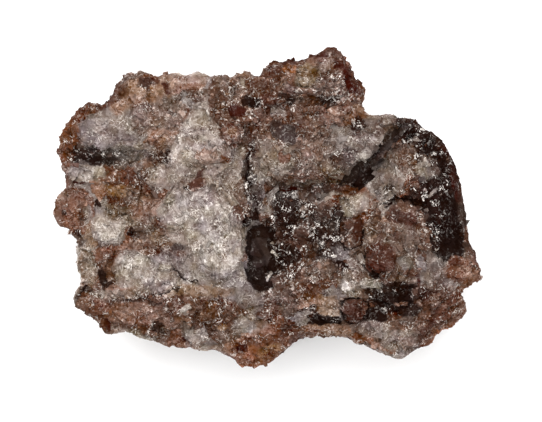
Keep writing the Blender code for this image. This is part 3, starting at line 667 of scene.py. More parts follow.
def crystal_share(plan, x, y, half_length, half_width, turn, fade):
    """How far plan places lie inside a rounded box: 1 inside, 0 outside, 0.5 on its edge, by the
    distance |along / half length|^n + |across / half width|^n = 1."""
    c, s = math.cos(math.radians(turn)), math.sin(math.radians(turn))
    dx, dy = plan[:, 0] - x, plan[:, 1] - y
    along, across = np.abs(dx * c + dy * s) / half_length, np.abs(dy * c - dx * s) / half_width
    out = (along**CRYSTAL_SQUARENESS + across**CRYSTAL_SQUARENESS) ** (1.0 / CRYSTAL_SQUARENESS)
    return np.clip((1.0 - out) * min(half_length, half_width) / (FADE_SHARE * fade) + 0.5, 0.0, 1.0)


def route_distance(plan, route):
    """Distance in plan from each point to the nearest stretch of a route."""
    nearest = np.full(len(plan), np.inf)
    for start, end in zip(np.array(route[:-1]), np.array(route[1:])):
        along = end - start
        share = np.clip((plan - start) @ along / (along @ along), 0.0, 1.0)
        gap = plan - start - share[:, None] * along
        nearest = np.minimum(nearest, np.hypot(gap[:, 0], gap[:, 1]))
    return nearest


def pick(shares, draw):
    """The mineral that each draw from -1 to 1 falls on, when the minerals fill these shares."""
    limits = np.cumsum(list(shares.values())) / sum(shares.values())
    order = np.array([NAMES.index(name) for name in shares])
    return order[np.minimum(np.searchsorted(limits, (draw + 1.0) / 2.0), len(order) - 1)]


def strayed(points, rng, reaches):
    """The points, each shifted by smooth noise of several cell sizes, which makes borders ragged."""
    return points + sum(reach * smooth_noise(points, cell, rng, 3) for cell, reach in reaches)


def risen(values, start, stretch):
    """0 up to the start, 1 from a stretch beyond it, and straight in between."""
    return np.clip((values - start) / stretch, 0.0, 1.0)


def topness(points, normals):
    """How far the surface at each point belongs to the top of the rock: 0 on the flanks, 1 on top."""
    level = risen(normals[:, 2], TOP_LEAN, TOP_LEAN_FADE)
    lifted = risen(points[:, 2], TOP_FLOOR, TOP_FLOOR_FADE)
    return np.maximum(level * lifted, risen(points[:, 2], TOP_HEIGHT, TOP_HEIGHT_FADE))


def rim_of(points):
    """The rock's reach from its upright axis at each of the bearings, from the points that lie there."""
    bearing = ((np.arctan2(points[:, 1], points[:, 0]) / math.tau) % 1.0 * RIM_BEARINGS).astype(int)
    reach = np.zeros(RIM_BEARINGS)
    np.maximum.at(reach, bearing, np.hypot(points[:, 0], points[:, 1]))
    return reach


def rim_share(points, reach):
    """How far each point belongs to the weathered rim: 1 at the outline, 0 from RIM_WIDTH inwards."""
    bearing = (np.arctan2(points[:, 1], points[:, 0]) / math.tau) % 1.0 * RIM_BEARINGS - 0.5
    here = np.interp(bearing, np.arange(RIM_BEARINGS), reach, period=RIM_BEARINGS)
    inwards = here - np.hypot(points[:, 0], points[:, 1])
    return np.clip(RIM_END * (1.0 - inwards / RIM_WIDTH), 0.0, 1.0)


def rim_traits(points):
    """Traits of the rim's mineral at each point's bearing, blended from one named bearing to the next."""
    bearing = np.degrees(np.arctan2(points[:, 1], points[:, 0])) % 360.0
    named = np.array([TRAITS[NAMES.index(name)] for _, name in RIM_MINERALS])
    at = [turn for turn, _ in RIM_MINERALS]
    return np.column_stack([np.interp(bearing, at, column, period=360.0) for column in named.T])


def traits_at(points, up, reach):
    """Tint, gloss, roughness, fibre and flecks at each point. Away from the listed crystals the minerals
    fill cells in their shares, in larger cells and smaller ones within them. Then each crystal is laid
    over what lies under it by the share that it covers, and the cracks are lined."""
    rng = np.random.default_rng(SEED)
    loose = strayed(points, rng, CRYSTAL_WANDERS)
    zone, _ = nearest_seed(loose, ZONE_CELL, rng, 2)
    patch, _ = nearest_seed(loose, PATCH_CELL, rng, 2)
    ragged = BORDER_STRAY * smooth_noise(points, BORDER_CELL, rng)[:, 0]
    on_rim = rim_share(loose, reach)
    edge = (risen(up + ragged, BORDER, BORDER_FADE) * (1.0 - RIM_COVER * on_rim))[:, None]
    draw = np.where(patch[:, 1] > 0.0, patch[:, 0], zone[:, 0])
    on_top = TRAITS[pick(SHARES_ON_TOP, draw)]
    on_flanks = TRAITS[pick(FLANK_ZONES[0][1], patch[:, 0])]
    start = FLANK_ZONES[0][0]
    for share, minerals in FLANK_ZONES[1:]:
        here = ((zone[:, 1] + 1.0) / 2.0 >= start) & (patch[:, 1] > LONE_PATCH)
        on_flanks = np.where(here[:, None], TRAITS[pick(minerals, patch[:, 0])], on_flanks)
        start += share
    on_flanks[:, ROUGH] *= FLANK_SMOOTHING
    cover = RIM_STRENGTH * np.clip(1.0 + RIM_RAGGED * ragged, RIM_REMNANT, 1.0) * on_rim
    cover *= risen(loose[:, 2], RIM_FLOOR, RIM_FLOOR_FADE)
    on_flanks += (rim_traits(loose) - on_flanks) * cover[:, None]
    traits = on_flanks + (on_top - on_flanks) * edge
    plan = loose[:, :2]
    for name, x, y, half_length, half_width, turn, cover, fade in CRYSTALS:
        span = CRYSTAL_SPAN * max(half_length, half_width) + fade
        near = np.nonzero(np.hypot(plan[:, 0] - x, plan[:, 1] - y) < span)[0]
        inside = crystal_share(plan[near], x, y, half_length, half_width, turn, fade)[:, None] * edge[near]
        traits[near] += (TRAITS[NAMES.index(name)] - traits[near]) * inside * cover
    for width, _, name, route in CRACKS:
        inside = (1.0 - risen(route_distance(plan, route) / width, LINING, LINING_FADE))[:, None] * edge
        traits += (TRAITS[NAMES.index(name)] - traits) * inside
    return traits


def swell_at(points):
    """How far the rim swells out or draws in at each point, dying away as exp(-(distance / reach)^2)."""
    total = np.zeros(len(points))
    for x, y, reach, rise in SWELLS:
        total += rise * np.exp(-(((points[:, 0] - x) ** 2 + (points[:, 1] - y) ** 2) / reach**2))
    return total


def relief_at(points, up, rough):
    """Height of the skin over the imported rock: crystals that stand out, flat breaks of several sizes,
    fine noise, and the cracks cut into them, all in millimetres. Gives the breaks' tones as well."""
    rng = np.random.default_rng(SEED + 1)
    loose = strayed(points, rng, CRYSTAL_WANDERS)
    height = np.zeros(len(points))
    for x, y, half_length, half_width, turn, rise, lean, bearing in STANDING:
        inside = crystal_share(loose[:, :2], x, y, half_length, half_width, turn, STANDING_FADE)
        way = math.radians(bearing)
        slope = (loose[:, 0] - x) * math.cos(way) + (loose[:, 1] - y) * math.sin(way)
        height += inside * up * (rise - math.tan(math.radians(lean)) * slope)
    tone = np.zeros(len(points))
    for cell, step, tilt, spread in BREAKS:
        own, way = nearest_seed(strayed(points, rng, [(cell, BREAK_STRAY * cell)]), cell, rng, 5)
        height += rough * (step * own[:, 3] + tilt * cell * np.einsum("ij,ij->i", way, own[:, :3]))
        tone += spread * own[:, 4]
    height += FINE_HEIGHT * smooth_noise(points, FINE_CELL, rng)[:, 0]
    for width, depth, _, route in CRACKS:
        off = route_distance(loose[:, :2], route) / (width / 2.0)
        height -= depth * up * np.sqrt(np.clip(1.0 - off * off, 0.0, 1.0))
    return height, tone


def relit(tint, gain):
    """The tints, lightened or darkened by the gain: tint + (gain - 1) (tint (1 - g) + its grey g), where g
    is GREYING, so that the hue doesn't grow along with the brightness."""
    grey = (tint @ BRIGHTNESS)[:, None]
    change = (gain - 1.0)[:, None]
    return np.maximum(tint + change * (tint + (grey - tint) * GREYING), LEAST_TINT * tint)


def tinted(traits, tone, points):
    """Tint at each point: its minerals', with flecks of others in some of the grains, and darker or
    lighter by its own tone and by broad hazes."""
    rng = np.random.default_rng(SEED + 2)
    grain, _ = nearest_seed(points, GRAIN_CELL, rng, 3)
    haze = sum(reach * smooth_noise(points, cell, rng)[:, 0] for cell, reach in TONE_HAZES)
    fleck = TRAITS[pick(FLECKS, grain[:, 1]), TINT]
    own = traits[:, TINT]
    like = own * ((fleck @ BRIGHTNESS) / (own @ BRIGHTNESS))[:, None]
    from_host = (1.0 - FLECK_HUE) * np.clip((own @ BRIGHTNESS) / DARK_TINT, LEAST_HOST, 1.0)
    fleck += (like - fleck) * from_host[:, None]
    shown = FLECK_STRENGTH * ((grain[:, 0] + 1.0) / 2.0 < FLECK_SHARE * traits[:, FLECKED])[:, None]
    hue = sum(reach * smooth_noise(points, cell, rng, 3) for cell, reach in HUE_HAZES)
    tint = own + (fleck - own) * shown
    return relit(tint * np.exp(hue), np.exp(tone + GRAIN_TONE * traits[:, ROUGH] * grain[:, 2] + haze))


# ---------------------------------------------------------------- the skin

# What each row of the skin's points holds.
PLACE, NORMAL, PUSH = slice(0, 3), slice(3, 6), 6


def halved(rows, faces, wanted, rng):
    """One round of refining: sides longer than wanted get a point in their middle, and a triangle with
    one, two or three such sides becomes two, three or four. rows holds place, normal and push, which are
    blended at a middle, and the push there is changed at random by a share of the side."""
    ends = np.sort(np.stack([faces, np.roll(faces, -1, axis=1)], axis=2), axis=2).reshape(-1, 2)
    _, first, side = np.unique(ends[:, 0] * len(rows) + ends[:, 1], return_index=True, return_inverse=True)
    a, b = rows[ends[first, 0]], rows[ends[first, 1]]
    length = np.linalg.norm(a[:, PLACE] - b[:, PLACE], axis=1)
    between = (a + b) / 2.0
    long = length > wanted(between)
    added = np.full(len(first), -1)
    added[long] = len(rows) + np.arange(long.sum())
    between[:, PUSH] += CHIPPING * length * rng.uniform(-1.0, 1.0, len(a))
    middle = added[side.reshape(-1, 3)]
    split = middle >= 0
    code = split @ np.array([1, 2, 4])
    # Turn each triangle so that a lone split side, or the first of two, is its first side.
    turn = np.array([0, 0, 1, 0, 2, 2, 1, 0])[code]
    order = (np.arange(3) + turn[:, None]) % 3
    corner = np.take_along_axis(faces, order, axis=1)
    mid = np.take_along_axis(middle, order, axis=1)
    count = split.sum(axis=1)
    p, q, r = corner.T
    u, v, w = mid.T
    made = [faces[count == 0]]
    for wanted_count, parts in (
        (1, [(p, u, r), (u, q, r)]),
        (2, [(u, q, v), (p, u, v), (p, v, r)]),
        (3, [(p, u, w), (u, q, v), (w, v, r), (u, v, w)]),
    ):
        here = count == wanted_count
        made += [np.stack(part, axis=1)[here] for part in parts]
    return np.vstack([rows, between[long]]), np.vstack(made)


def skin_side(middle):
    """Longest side wanted at a place: short on top, longer on the flanks, and longest underneath."""
    points = middle[:, PLACE]
    up = topness(points, middle[:, NORMAL])
    side = SIDE_ON_FLANKS + (SIDE_ON_TOP - SIDE_ON_FLANKS) * up
    return np.where(points[:, 2] < UNDERNEATH, SIDE_UNDERNEATH, side)


def unit(vectors):
    """The vectors, each drawn out or in to a length of one."""
    return vectors / np.linalg.norm(vectors, axis=1)[:, None]


def faces_of(mesh):
    """The mesh's triangles as rows of three vertex numbers."""
    flat = np.empty(len(mesh.loops), dtype=np.int32)
    mesh.loops.foreach_get("vertex_index", flat)
    return flat.reshape(-1, 3).astype(np.int64)


def new_mesh(name, points, faces):
    """A mesh from rows of points in millimetres and rows of triangles."""
    mesh = bpy.data.meshes.new(name)
    mesh.vertices.add(len(points))
    mesh.vertices.foreach_set("co", (points * MM).astype(np.float32).ravel())
    mesh.loops.add(faces.size)
    mesh.loops.foreach_set("vertex_index", faces.astype(np.int32).ravel())
    mesh.polygons.add(len(faces))
    mesh.polygons.foreach_set("loop_start", np.arange(0, faces.size, 3, dtype=np.int32))
    mesh.update(calc_edges=True)
    mesh.validate()
    mesh.shade_flat()
    return mesh


def store(mesh, each, **kept):
    """Keeps one number or one colour for each run of this many triangles, at the corners of them all,
    under the name that it comes with."""
    for name, values in kept.items():
        rows = np.repeat(values, 3 * each, axis=0).astype(np.float32)
        if values.ndim == 1:
            mesh.attributes.new(name, "FLOAT", "CORNER").data.foreach_set("value", rows)
        else:
            opaque = np.column_stack([rows, np.ones(len(rows), dtype=np.float32)])
            mesh.attributes.new(name, "FLOAT_COLOR", "CORNER").data.foreach_set("color", opaque.ravel())


def add_piece(name, mesh, material):
    """Puts a finished mesh into the scene as a piece of the rock."""
    piece = bpy.data.objects.new(name, mesh)
    bpy.context.scene.collection.objects.link(piece)
    mesh.materials.append(material)
    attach(piece, "root")
    return piece


def make_skin(material):
    """The rock's surface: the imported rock's triangles halved until they are fine, each point moved along
    its normal by the relief and the swell there. Gives what grains stand on: the skin's points and
    triangles, and for each triangle how thickly they stand, its traits and its tint."""
    merged = merged_copy(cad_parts["rock"])
    rng = np.random.default_rng(SEED + 4)
    push = FIRST_CHIPPING * rng.uniform(-1.0, 1.0, len(merged.vertices))
    rows = np.column_stack([points_of(merged), normals_of(merged), push])
    faces = faces_of(merged)
    for _ in range(REFINING_ROUNDS):
        rows, faces = halved(rows, faces, skin_side, rng)
    points = rows[:, PLACE]
    normals = unit(rows[:, NORMAL])
    up = topness(points, normals)
    reach = rim_of(points)
    rough = traits_at(points, up, reach)[:, ROUGH]
    height, _ = relief_at(points, up, rough)
    calm = 1.0 - RIM_CALM * rim_share(points, reach)
    height += rows[:, PUSH] * rough * (FLANK_CHIPPING + (1.0 - FLANK_CHIPPING) * up) * calm
    off_base = risen(points[:, 2], 0.0, BASE_FADE)
    height *= off_base
    moved = points + normals * (height + swell_at(points) * off_base)[:, None]
    moved[:, 2] = np.maximum(moved[:, 2], 0.0)
    mesh = new_mesh("skin", moved, faces)

    middle = points[faces].mean(axis=1)
    up = up[faces].mean(axis=1)
    on_rim = rim_share(middle, reach)
    traits = traits_at(middle, up, reach)
    _, tone = relief_at(middle, up, traits[:, ROUGH])
    tint = tinted(traits, tone, middle)
    # Painted shade in the skin's recesses, and painted light where it stands out.
    tint = relit(tint, np.clip(1.0 + PAINTED_DEPTH_SHADE * height[faces].mean(axis=1), *PAINTED_DEPTH_LIMITS))
    # Painted light: the rim's steep faces, which the lamps reach less, are painted lighter.
    painted_rim_light = on_rim * (1.0 - up) * risen(middle[:, 2], RIM_FLOOR, RIM_FLOOR_FADE)
    tint *= 1.0 + RIM_PAINTED_LIGHT * painted_rim_light[:, None]
    facing = normals[faces].mean(axis=1)
    gloss, fibre, grit = traits[:, GLOSS], traits[:, FIBRE], traits[:, ROUGH]
    store(mesh, 1, facing=facing, tint=tint, gloss=gloss, fibre=fibre, grit=grit)
    bpy.data.meshes.remove(merged)
    piece = add_piece("skin", mesh, material)
    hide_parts("rock")
    return moved, faces, up * (1.0 - RIM_BARENESS * on_rim), traits, tint


# ---------------------------------------------------------------- the grains

BLOCK = np.array([(x, y, z) for z in (-1, 1) for y in (-1, 1) for x in (-1, 1)], dtype=float)
BLOCK_FACES = np.array([
    (0, 2, 1), (1, 2, 3), (4, 5, 6), (5, 7, 6), (0, 1, 4), (1, 5, 4),
    (2, 6, 3), (3, 6, 7), (0, 4, 2), (2, 4, 6), (1, 3, 5), (3, 7, 5),
])
SPIKE = np.array([(1, 0, 0), (-1, 0, 0), (0, 1, 0), (0, -1, 0), (0, 0, 1), (0, 0, -1)], dtype=float)
SPIKE_FACES = np.array([
    (0, 2, 4), (2, 1, 4), (1, 3, 4), (3, 0, 4), (2, 0, 5), (1, 2, 5), (3, 1, 5), (0, 3, 5),
])

# Grains: name, corners and faces, how many, smallest and largest size, how far their axes lean, how far
# their tints differ, and how much glossier than the skin they are.
GRAINS = [
    ("blocks", BLOCK, BLOCK_FACES, 2600, (0.6, 1.6), 0.25, 0.12, 0.1),
    ("chips", SPIKE, SPIKE_FACES, 9000, (0.30, 0.8), 0.40, 0.22, 0.2),
]

# How thickly grains stand on the flanks, beside one on top, and the height below which none do.
FLANK_GRAINS = 0.15
GRAIN_FLOOR = 1.0

# How rare large grains are: the power of the draw that their sizes come from. A grain's least and greatest
# length, width and height beside its size, how far its corners stray beside those, how fibres draw them
# out, and the least and greatest share of its height that it sinks in.
GRAIN_RARITY = 2.0
GRAIN_LEAST, GRAIN_MOST = (1.0, 0.7, 0.5), (1.7, 1.0, 0.9)
GRAIN_STRAY = 0.42
FIBRE_DRAW = (0.7, -0.4, -0.4)
FIBRE_PULL = 3.0
GRAIN_SUNK = (0.3, 0.9)


def make_grains(name, base, base_faces, count, sizes, lean, spread, shine, material, ground, rng):
    """Angular grains half sunk in the skin. A grain is a block or a double pyramid with each corner
    strayed, drawn out to a random length, width and height, turned at random about a leaning normal,
    and set at a place picked by area on the skin's triangles, more of them where it breaks roughly."""
    points, faces, thickly, traits, tint = ground
    corner = points[faces]
    cross = np.cross(corner[:, 1] - corner[:, 0], corner[:, 2] - corner[:, 0])
    weight = np.linalg.norm(cross, axis=1) * (FLANK_GRAINS + (1.0 - FLANK_GRAINS) * thickly)
    weight *= traits[:, ROUGH] ** 2 * (corner[:, :, 2].min(axis=1) > GRAIN_FLOOR)
    total = np.cumsum(weight)
    at = np.searchsorted(total, rng.random(count) * total[-1])
    share = np.sort(rng.random((count, 2)), axis=1)
    bary = np.column_stack([share[:, 0], share[:, 1] - share[:, 0], 1.0 - share[:, 1]])
    place = np.einsum("nc,nci->ni", bary, corner[at])

    normal = unit(cross[at])
    upright = unit(normal + lean * rng.normal(size=(count, 3)))
    fibrous = traits[at, FIBRE, None]
    heading = FIBRE_HEADING * fibrous * FIBRE_PULL + rng.normal(size=(count, 3))
    along = unit(np.cross(np.cross(upright, heading), upright))
    across = np.cross(upright, along)

    low, high = sizes
    size = low * (high / low) ** (rng.random(count) ** GRAIN_RARITY)
    half = 0.5 * size[:, None] * rng.uniform(GRAIN_LEAST, GRAIN_MOST, (count, 3))
    half *= 1.0 + fibrous * FIBRE_DRAW
    local = (base + rng.uniform(-GRAIN_STRAY, GRAIN_STRAY, (count,) + base.shape)) * half[:, None, :]
    axes = np.stack([along, across, upright], axis=1)
    body = np.einsum("nva,nai->nvi", local, axes) + place[:, None, :]
    body -= normal[:, None, :] * (half[:, 2] * rng.uniform(*GRAIN_SUNK, count))[:, None, None]
    triangles = (base_faces[None] + (np.arange(count) * len(base))[:, None, None]).reshape(-1, 3)
    own_tint = tint[at] * np.exp(spread * rng.uniform(-1.0, 1.0, count))[:, None]
    gloss = np.clip(traits[at, GLOSS] + shine, 0.0, 1.0)
    fibre, grit = 0.5 * traits[at, FIBRE], traits[at, ROUGH]
    mesh = new_mesh(name, body.reshape(-1, 3), triangles)
    store(mesh, len(base_faces), facing=normal, tint=own_tint, gloss=gloss, fibre=fibre, grit=grit)
    return add_piece(name, mesh, material)


# ---------------------------------------------------------------- finishes


class Value:
    """A number inside a material. Sums with it add the nodes that work them out."""

    def __init__(self, nodes, socket):
        self.nodes, self.socket = nodes, socket

    def worked(self, operation, *others, reverse=False):
        terms = [self, *others]
        if reverse:
            terms.reverse()
        node = self.nodes.add("ShaderNodeMath", {"operation": operation}, dict(enumerate(terms)))
        return Value(self.nodes, node.outputs[0])

    def __add__(self, other):
        return self.worked("ADD", other)

    def __sub__(self, other):
        return self.worked("SUBTRACT", other)

    def __rsub__(self, other):
        return self.worked("SUBTRACT", other, reverse=True)

    def __mul__(self, other):
        return self.worked("MULTIPLY", other)

    def __truediv__(self, other):
        return self.worked("DIVIDE", other)

    __radd__ = __add__
    __rmul__ = __mul__

    def held(self, low, high):
        """Not under low, and not over high."""
        return self.worked("MAXIMUM", low).worked("MINIMUM", high)

    def stepped(self, start, end):
        """0 below start, 1 above end, and straight in between."""
        return ((self - start) / (end - start)).held(0.0, 1.0)


class Nodes:
    """The nodes of one material. add() makes every one of them."""

    def __init__(self, name):
        self.material = bpy.data.materials.new(name)
        self.material.use_nodes = True
        self.tree = self.material.node_tree
        self.tree.nodes.clear()

    def add(self, kind, settings=None, values=None):
        node = self.tree.nodes.new(kind)
        for name, value in (settings or {}).items():
            setattr(node, name, value)
        for key, value in (values or {}).items():
            socket = node.inputs[key]
            if isinstance(value, Value):
                self.tree.links.new(value.socket, socket)
            elif isinstance(value, bpy.types.NodeSocket):
                self.tree.links.new(value, socket)
            else:
                socket.default_value = value
        return node

    def attribute(self, name, output):
        """What the piece keeps under this name."""
        return self.add("ShaderNodeAttribute", {"attribute_name": name}).outputs[output]

    def vector(self, operation, *terms):
        """A vector worked out from others, or from one and a number to scale it by."""
        values = dict(zip((0, "Scale") if operation == "SCALE" else (0, 1), terms))
        return self.add("ShaderNodeVectorMath", {"operation": operation}, values).outputs["Vector"]

    def measure(self, operation, *terms):
        """A number worked out from vectors."""
        node = self.add("ShaderNodeVectorMath", {"operation": operation}, dict(enumerate(terms)))
        return Value(self, node.outputs["Value"])

    def mixed(self, share, a, b):
        """Colour a, with this share of colour b in its place."""
        return self.add("ShaderNodeMix", {"data_type": "RGBA"}, {0: share, 6: a, 7: b}).outputs[2]

    def noise(self, place, size, detail):
        """Smooth random numbers between 0 and 1, whose waves are about this size."""
        values = {"Vector": place, "Scale": 1.0 / size, "Detail": detail}
        return Value(self, self.add("ShaderNodeTexNoise", None, values).outputs[0])

    def finish(self, **values):
        """Closes the material with one surface that has these values, and gives it."""
        named = {name.replace("_", " "): value for name, value in values.items()}
        surface = self.add("ShaderNodeBsdfPrincipled", None, named)
        self.add("ShaderNodeOutputMaterial", None, {"Surface": surface.outputs[0]})
        return self.material


# The middle of random numbers from 0 to 1, as a vector.
MIDDLE = (0.5, 0.5, 0.5)


class Cells:
    """Cells round scattered seeds. Each has two random numbers, tone and luck, and a random heading, and
    away is the way to a place from its cell's seed in units of the cell's size."""

    def __init__(self, nodes, place, size):
        self.nodes = nodes
        node = nodes.add("ShaderNodeTexVoronoi", {"feature": "F1"}, {"Vector": place, "Scale": 1.0 / size})
        parts = nodes.add("ShaderNodeSeparateColor", None, {"Color": node.outputs["Color"]})
        self.tone, self.luck = Value(nodes, parts.outputs[0]), Value(nodes, parts.outputs[1])
        self.heading = nodes.vector("SUBTRACT", node.outputs["Color"], MIDDLE)
        away = nodes.vector("SUBTRACT", place, node.outputs["Position"])
        self.away = nodes.vector("SCALE", away, 1.0 / size)

    def lean(self):
        """Height over a cell that leans along its heading."""
        return self.nodes.measure("DOT_PRODUCT", self.away, self.heading)


# The stone's cells, which are fine ones, coarse ones and facets: their size, and how high each one leans.
CELLS = [(0.34, 0.10), (0.75, 0.20), (1.8, 0.35)]

# How far the fine cells' tones differ, and how far the coarse ones' do beside them. Then the same for the
# facets, the haze, the fibres and the needles, and the haze's size.
FINE_TONE = 0.74
COARSE_TONE = 0.25
FACET_TONE = 0.34
HAZE_TONE = 0.85
FIBRE_TONE = 2.6
NEEDLE_TONE = 0.5
HAZE_SIZE = 1.6

# The stone is calm in some places and busy in others, and busier where it breaks roughly: the size of the
# places, the noise's step from the calm to the busy ones, how busy the calmest are and how much more the
# busiest, and the same for smooth and rough.
BUSY_SIZE = 3.2
BUSY_STEP = (0.40, 0.60)
CALMEST, BUSIER = 0.35, 1.4
SMOOTHEST, ROUGHER = 0.2, 1.4

# Needles: the size of the cells that hold one each, half its width and half its length as shares of
# that, and the share of the cells that show theirs.
NEEDLES = [(2.4, 0.050, 0.42, 0.9), (1.4, 0.085, 0.42, 0.8), (0.8, 0.13, 0.40, 0.7)]

# The shares of a needle's half width and half length that are whole. Then how its cell's tone and luck are
# mixed into a draw of the needle's own.
NEEDLE_CORE, NEEDLE_SHAFT = 0.4, 0.55
NEEDLE_DRAW = (7.0, 3.0)

# The waves that bend the needles and fibres: their size and reach. Then the fibres' size along each axis,
# beside their own width.
BEND_SIZE, BEND_REACH = 1.0 / 0.9, 1.6
FIBRE_STRETCH = (1.0, 0.16, 0.5)
FIBRE_WIDTH = 0.55

# Threads, pale fibres in fibrous minerals and painted glints in half-glossy ones: their colour, how firmly
# they are drawn, and how much of them shows at most.
THREAD_COLOUR = (0.74, 0.68, 0.61, 1.0)
THREAD_STRENGTH = 0.75
MOST_THREADS = 0.85

# Painted glints, mixed into the stone's colour: their colour, the size of the places where they crowd
# together and the noise's step there, the same for the shards that coarse cells break into, the luck from
# which coarse and fine cells glint, how brightly fine cells, shards and needles do, how much of that a dull
# mineral keeps, and how much of them shows at most.
PAINTED_GLINT_COLOUR = (0.78, 0.72, 0.67, 1.0)
CROWD_SIZE, CROWD_STEP = 2.6, (0.50, 0.60)
SHARD_SIZE, SHARD_STEP = 0.30, (0.52, 0.58)
COARSE_LUCK, FINE_LUCK = (0.90, 0.92), (0.955, 0.96)
FINE_GLINT, SHARD_GLINT, NEEDLE_GLINT = 0.8, 1.6, 2.0
DULL_GLINT = 0.05
MOST_GLINTS = 0.92

# Roughness: that of a dull mineral, how much less a glassy one has, how far the coarse cells differ, and
# the least there is.
DULL, GLASSY, CELL_LUSTRE, LEAST_ROUGHNESS = 0.85, 0.62, 0.25, 0.16

# The size and height of the finest unevenness, how deeply all of the relief shows, and how much sheen
# there is.
UNEVEN_SIZE, UNEVENNESS = 0.5, 0.10
BUMP = 0.44
SHEEN = 0.01


class Stone(Nodes):
    """Stone that takes its tint and gloss from the piece. Small cells lighten and darken it, and thin bright
    needles lie in its glossy and fibrous minerals: painted glints in the glossy ones, pale fibres in the
    fibrous ones. Glints are painted into its colour as well. Each cell leans its own way, so that some of
    them catch the light."""

    def __init__(self, name):
        super().__init__(name)
        self.place = self.vector("SCALE", self.add("ShaderNodeTexCoord").outputs["Object"], 1.0 / MM)
        self.tint = self.attribute("tint", "Color")
        self.facing = self.attribute("facing", "Vector")
        self.gloss = Value(self, self.attribute("gloss", "Fac"))
        self.fibre = Value(self, self.attribute("fibre", "Fac"))
        self.grit = Value(self, self.attribute("grit", "Fac"))
        self.cells = [Cells(self, self.place, size) for size, _ in CELLS]
        self.fine, self.coarse, self.facets = self.cells
        wave = {"Vector": self.place, "Scale": 1.0 / BEND_SIZE, "Detail": 1.0}
        wave = self.add("ShaderNodeTexNoise", None, wave).outputs["Color"]
        wave = self.vector("SCALE", self.vector("SUBTRACT", wave, MIDDLE), BEND_REACH)
        self.bent = self.vector("ADD", self.place, wave)
        self.needles = sum(self.needles_in(*row) for row in NEEDLES).held(0.0, 1.0)
        restless = self.noise(self.place, BUSY_SIZE, 2.0).stepped(*BUSY_STEP)
        self.busy = (CALMEST + BUSIER * restless) * (SMOOTHEST + ROUGHER * self.grit)

    def level(self, vector):
        """What is left of a vector once the part that points out of the surface is taken off."""
        outwards = self.measure("DOT_PRODUCT", vector, self.facing)
        return self.vector("SUBTRACT", vector, self.vector("SCALE", self.facing, outwards))

    def needles_in(self, size, half_width, half_length, share):
        """Thin strokes: in each cell one, level with the surface, through the cell's seed, in the cell's
        own random direction, bright in the middle and fading to its ends."""
        cells = Cells(self, self.bent, size)
        away = self.level(cells.away)
        heading = self.vector("NORMALIZE", self.level(cells.heading))
        along = self.measure("DOT_PRODUCT", away, heading)
        off = self.measure("LENGTH", self.vector("SUBTRACT", away, self.vector("SCALE", heading, along)))
        inside = 1.0 - off.stepped(NEEDLE_CORE * half_width, half_width)
        ends = 1.0 - along.worked("ABSOLUTE").stepped(NEEDLE_SHAFT * half_length, half_length)
        luck = (cells.tone * NEEDLE_DRAW[0] + cells.luck * NEEDLE_DRAW[1]).worked("FRACT")
        return inside * ends * luck.stepped(1.0 - share, 1.0)

    def fibres(self):
        """Long streaks along the fibres, from -0.5 to 0.5."""
        turn = {"Vector": self.bent, "Rotation": (0.0, 0.0, FIBRE_TURN), "Scale": FIBRE_STRETCH}
        return self.noise(self.add("ShaderNodeMapping", None, turn).outputs[0], FIBRE_WIDTH, 3.0) - 0.5

    def shaded(self):
        """The tint, lightened and darkened by the cells, the haze, the fibres and the needles. It is the
        formula of relit: tint + change (tint (1 - g) + its grey g)."""
        small = (self.fine.tone - 0.5) + COARSE_TONE * (self.coarse.tone - 0.5)
        haze = HAZE_TONE * (self.noise(self.place, HAZE_SIZE, 3.0) - 0.5)
        bright = 1.0 + self.busy * FINE_TONE * small + haze + FACET_TONE * (self.facets.tone - 0.5)
        bright = bright * (1.0 + FIBRE_TONE * self.fibre * self.fibres())
        change = bright * (1.0 + NEEDLE_TONE * self.needles * self.busy) - 1.0
        grey = self.measure("DOT_PRODUCT", self.tint, tuple(BRIGHTNESS))
        scaled = self.vector("SCALE", self.tint, 1.0 + (1.0 - GREYING) * change)
        shaded = self.vector("ADD", scaled, GREYING * grey * change)
        return self.vector("MAXIMUM", shaded, self.vector("SCALE", self.tint, LEAST_TINT))

    def threaded(self):
        """The shaded tint with the needles drawn over it as pale threads: pale fibres in fibrous minerals,
        and painted glints in half-glossy ones."""
        drawn = THREAD_STRENGTH * (self.gloss * self.gloss * (1.0 - self.gloss) + self.fibre)
        threads = (self.needles * drawn * self.busy).held(0.0, MOST_THREADS)
        return self.mixed(threads, self.shaded(), THREAD_COLOUR)

    def colour(self):
        """The threaded tint with painted glints over it, in glossy minerals: some of the fine cells, parts
        of some of the coarse ones, and the needles, all of them where a broad noise crowds them together."""
        crowd = self.noise(self.place, CROWD_SIZE, 3.0).stepped(*CROWD_STEP)
        shards = self.noise(self.place, SHARD_SIZE, 1.0).stepped(*SHARD_STEP)
        shards = self.coarse.luck.stepped(*COARSE_LUCK) * shards
        lucky = self.fine.luck.stepped(*FINE_LUCK)
        painted_glints = (FINE_GLINT * lucky + SHARD_GLINT * shards + NEEDLE_GLINT * self.needles) * crowd
        painted_glints = (painted_glints * (self.gloss * self.gloss + DULL_GLINT)).held(0.0, MOST_GLINTS)
        return self.mixed(painted_glints, self.threaded(), PAINTED_GLINT_COLOUR)

    def bumped(self):
        """The surface's way up, with each cell leaning by its own random slope across it."""
        height = sum(cells.lean() * high for cells, (_, high) in zip(self.cells, CELLS))
        height = height + self.noise(self.place, UNEVEN_SIZE, 2.0) * UNEVENNESS
        values = {"Height": height, "Strength": BUMP, "Distance": MM}
        return self.add("ShaderNodeBump", None, values).outputs[0]

    def dullness(self):
        """Roughness: less in glossy minerals, and by chance in some of the coarse cells."""
        dull = DULL - GLASSY * self.gloss - CELL_LUSTRE * (self.coarse.luck - 0.5)
        return dull.held(LEAST_ROUGHNESS, 1.0)


